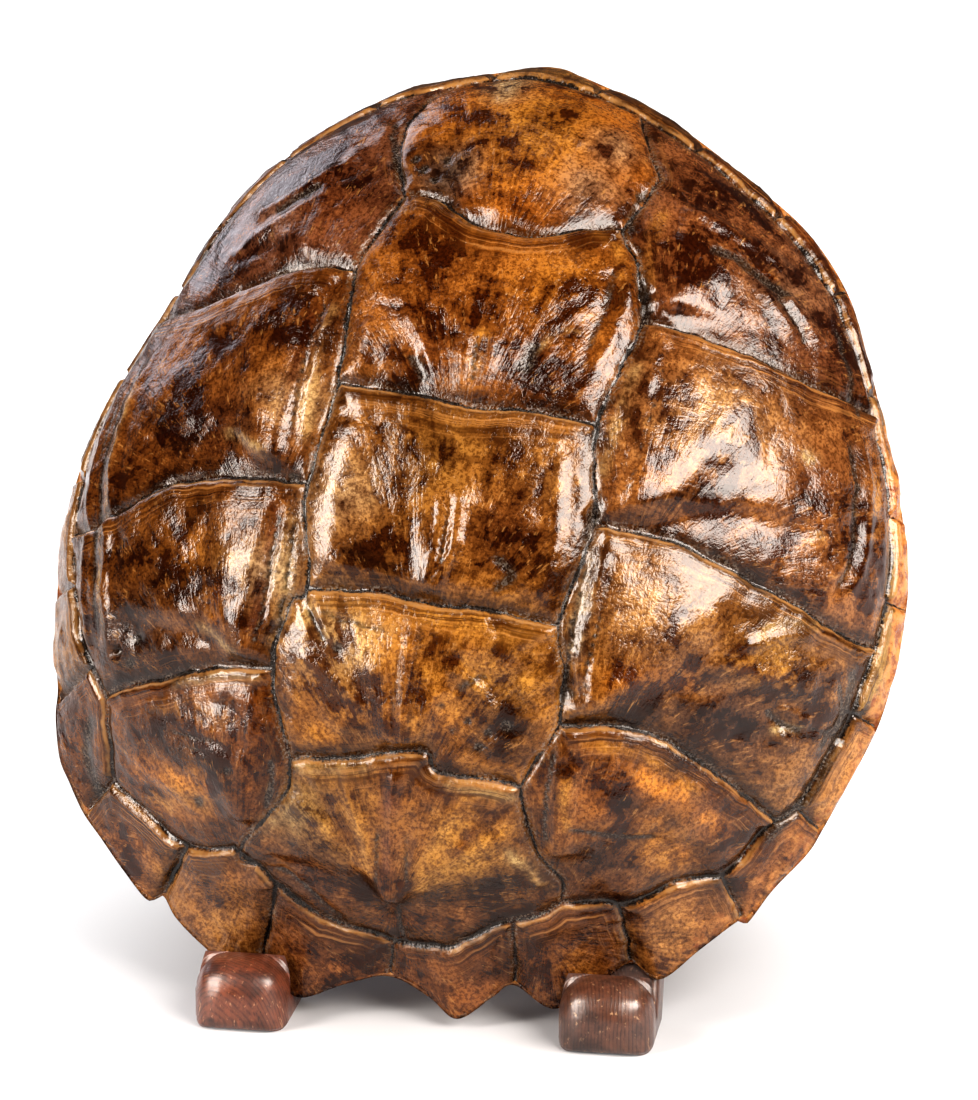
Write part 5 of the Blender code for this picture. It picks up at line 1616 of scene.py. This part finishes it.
# %% [markdown]
# ## Screws
#
# The rails and the leg are held by slotted wood screws with flat heads. A screw repeats, so a
# tree puts one head on each point of a small mesh, turned to the way that the point faces.

# %% Old steel
def steel_finish():
    """Old blued steel with a little rust."""
    f = Finish("old_steel")
    rust = f.speckle(f.place, 900.0, 4.0, 0.7)
    body = f.mix(f.span(rust, 0.48, 0.66), (0.10, 0.09, 0.085), (0.17, 0.065, 0.025))
    roughness = f.span(rust, 0.4, 0.7, 0.35, 0.75)
    return f.finish(body, roughness, f.times(rust, 0.05), Metallic=0.8)


STEEL = steel_finish()
print(STEEL.name, len(STEEL.node_tree.nodes), "nodes")

# %% A tree that puts a screw head on each point
HEAD_DEPTH, SLOT_LENGTH, SLOT_DEPTH, SLOT_PLACE = 0.0016, 0.02, 0.0012, 0.0009


def screw_tree(material):
    """One slotted screw head on each point, facing the way of the point's own attribute."""
    tree, source, output, sockets = new_tree(
        "screw_heads", {"Head radius": 0.0035, "Slot width": 0.0008, "Sides": 24})
    head = wire(tree, "GeometryNodeMeshCylinder", {
        "Vertices": source.outputs["Sides"], "Radius": source.outputs["Head radius"],
        "Depth": HEAD_DEPTH})
    slot_size = wire(tree, "ShaderNodeCombineXYZ", {
        "X": SLOT_LENGTH, "Y": source.outputs["Slot width"], "Z": SLOT_DEPTH})
    cutter = wire(tree, "GeometryNodeMeshCube", {"Size": slot_size.outputs[0]})
    raised = wire(tree, "GeometryNodeTransform", {
        "Geometry": cutter.outputs["Mesh"], "Translation": (0, 0, SLOT_PLACE)})
    cut = wire(tree, "GeometryNodeMeshBoolean", {}, operation="DIFFERENCE")
    tree.links.new(head.outputs["Mesh"], cut.inputs["Mesh 1"])
    tree.links.new(raised.outputs[0], cut.inputs["Mesh 2"])
    facing = wire(tree, "GeometryNodeInputNamedAttribute", {"Name": "facing"},
                  data_type="FLOAT_VECTOR")
    turned = wire(tree, "FunctionNodeAlignRotationToVector",
                  {"Vector": facing.outputs["Attribute"]}, axis="Z")
    # each slot stands at its own angle, as a hand leaves it
    spin = wire(tree, "FunctionNodeRandomValue", {"Min": 0.0, "Max": 3.1, "Seed": 4},
                data_type="FLOAT")
    twist = wire(tree, "FunctionNodeAxisAngleToRotation",
                 {"Axis": (0, 0, 1), "Angle": spin.outputs[1]})
    both = wire(tree, "FunctionNodeRotateRotation",
                {"Rotation": turned.outputs[0], "Rotate By": twist.outputs[0]},
                rotation_space="LOCAL")
    placed = wire(tree, "GeometryNodeInstanceOnPoints", {
        "Points": source.outputs["Geometry"], "Instance": cut.outputs[0],
        "Rotation": both.outputs[0]})
    end_tree(tree, output, placed.outputs[0], material)
    return tree, sockets


SCREWS, SCREW_SIZES = screw_tree(STEEL)
print("tree", SCREWS.name, "with inputs", list(SCREW_SIZES))

# %% The screws in their places
SINK, FROM_ARM_MIDDLE, DOWN_THE_LEG = 0.4 * MM, 7 * MM, (9 * MM, 22 * MM)


def screw_points():
    """Where the screws are, and the way each faces: four in each rail and two in the leg."""
    behind = (0, math.cos(LEAN), -math.sin(LEAN))
    places, ways = [], []
    for along in RAIL_PLACES.values():
        y, z = rim_plane(along, rail_front + RAIL_THICKNESS - SINK)
        for arm_middle in (-ARM_X, ARM_X):
            for aside in (-FROM_ARM_MIDDLE, FROM_ARM_MIDDLE):
                places.append((STAND.x + (arm_middle + aside), y, z))
                ways.append(behind)
    top, foot = Vector((0, *leg_outline()[3])), Vector((0, *leg_outline()[4]))
    down = (foot - top).normalized()
    out = Vector((0, -down.z, down.y))
    for run in DOWN_THE_LEG:
        spot = top + down * run - out * SINK
        places.append((STAND.x, spot.y, spot.z))
        ways.append(tuple(out))
    return places, ways


places, ways = screw_points()
dots = bpy.data.meshes.new("screw_dots")
dots.from_pydata(places, [], [])
put_attribute(dots, "facing", "FLOAT_VECTOR", ways)
HEAD = {"Head radius": 3.4 * MM, "Slot width": 0.8 * MM}
screws = grown("wood_screws", dots, SCREWS, SCREW_SIZES, HEAD, False)

# %% [markdown]
# ## Light, floor and camera
#
# A white floor meets a white wall behind. Two large soft lights stand in front, left and right:
# their reflections are the broad pale patches on the varnish. A weak window light comes from
# behind on the left and gives the flank its cool sheen. The floor behind gets a light of its own,
# because paper that is only lit from the front turns grey there. The camera stands 1.25 m away, a
# little to the right and above, with a long lens, as the photograph was taken.

# %% Floor
FLOOR_REACH = 6


def floor_finish():
    """White paper with the faintest cloud in it, and a painted glow that lights it beside and
    behind the stand and fades near the stand.
    """
    f = Finish("white_floor")
    body = f.mix(f.speckle(f.place, 3.0, 3.0), (0.42, 0.43, 0.45), (0.45, 0.46, 0.48))
    y = f.node("SeparateXYZ", {"Vector": f.place}, "Y")
    away = f.node("VectorMath", {0: f.place}, 1, operation="LENGTH")
    # painted light: the paper itself glows and fills in the shade on it, less toward the front and
    # not at all close under the stand
    painted_floor_glow = f.times(f.span(y, -0.34, -0.10), f.span(away, 0.06, 0.19, 0.0, 0.42))
    return f.finish(body, 0.6, **{"Emission Color": (0.98, 0.99, 1), "Emission Strength": painted_floor_glow})


ground = bpy.data.meshes.new("floor")
square = [(-1, -1, 0), (1, -1, 0), (1, 1, 0), (-1, 1, 0)]
ground.from_pydata([FLOOR_REACH * Vector(corner) for corner in square], [], [(0, 1, 2, 3)])
floor = bpy.data.objects.new("floor", ground)
bpy.context.scene.collection.objects.link(floor)
ground.materials.append(floor_finish())
print("floor", 2 * FLOOR_REACH, "m wide")

# %% The white room
world = bpy.data.worlds.new("white_room")
bpy.context.scene.world = world
world.use_nodes = True
room = world.node_tree
toward = wire(room, "ShaderNodeTexCoord", {})
axes = wire(room, "ShaderNodeSeparateXYZ", {0: toward.outputs["Generated"]})
# a dim room, with a bright wall behind that ends 50 degrees up and is brighter on the left
ROOM_STRENGTH, WALL_TOP = 0.16, 0.75
behind = tree_maths(room, "MULTIPLY", axes.outputs["Y"], 2.0, clamp=True)
low_down = tree_maths(room, "SUBTRACT", WALL_TOP, axes.outputs["Z"])
low_down = tree_maths(room, "MULTIPLY", low_down, 3.0, clamp=True)
wall = tree_maths(room, "MULTIPLY", behind, low_down, clamp=True)
to_the_left = tree_maths(room, "MULTIPLY", axes.outputs["X"], -1.6, clamp=True)
wall = tree_maths(room, "ADD", wall, tree_maths(room, "MULTIPLY", wall, to_the_left, clamp=True))
strength = tree_maths(room, "ADD", ROOM_STRENGTH, wall)
room.links.new(strength, room.nodes["Background"].inputs["Strength"])
print("room:", len(room.nodes), "nodes")

# %% Lights
FRONT_AIM, FLANK_AIM = (0, 0, 0.15), (0, 0, 0.20)
WARM, COOL, WHITE = (1, 0.92, 0.85), (0.94, 0.92, 1), (1, 1, 1)
# name, place, aimed at, width, height, power, spread in degrees, colour
LAMPS = [
    ("left_softbox", (-0.98, -0.82, 0.68), FRONT_AIM, 0.44, 1.15, 26, 180, WARM),
    ("right_softbox", (0.985, -0.64, 0.91), FRONT_AIM, 1.20, 0.85, 46, 180, WARM),
    ("left_window", (-0.98, 0.89, 0.88), FLANK_AIM, 0.85, 0.95, 5.5, 180, COOL),
    ("floor_light", (0, 2.9, 1.8), (0, 2.9, 0), 6.0, 5.0, 100, 40, WHITE),
]
for name, spot, aim, width, height, power, spread, colour in LAMPS:
    lamp = bpy.data.lights.new(name, "AREA")
    lamp.shape, lamp.size, lamp.size_y, lamp.energy = "RECTANGLE", width, height, power
    lamp.spread, lamp.color = math.radians(spread), colour
    light = bpy.data.objects.new(name, lamp)
    light.location = spot
    light.rotation_euler = (Vector(aim) - Vector(spot)).to_track_quat("-Z", "Y").to_euler()
    bpy.context.scene.collection.objects.link(light)
print(len(LAMPS), "lamps")

# %% Camera
AZIMUTH, ELEVATION, DISTANCE = math.radians(9.5), math.radians(15), 1.25
SENSOR, FOCAL_LENGTH = 36, 117.9
aim = STAND + Vector((15.0, 60.0, 161.3)) * MM
back = Vector((math.sin(AZIMUTH) * math.cos(ELEVATION), -math.cos(AZIMUTH) * math.cos(ELEVATION),
               math.sin(ELEVATION)))
lens = bpy.data.cameras.new("camera")
lens.sensor_fit, lens.sensor_width, lens.sensor_height = "VERTICAL", SENSOR, SENSOR
lens.lens = FOCAL_LENGTH
camera = bpy.data.objects.new("camera", lens)
camera.location = aim + DISTANCE * back
camera.rotation_euler = (-back).to_track_quat("-Z", "Y").to_euler()
bpy.context.scene.collection.objects.link(camera)
bpy.context.scene.camera = camera
view = bpy.context.scene.view_settings
view.view_transform, view.look = "Standard", "High Contrast"
print("camera at", [round(v, 3) for v in camera.location])

# %% [markdown]
# The dressed model has to stay in the box of the solids.
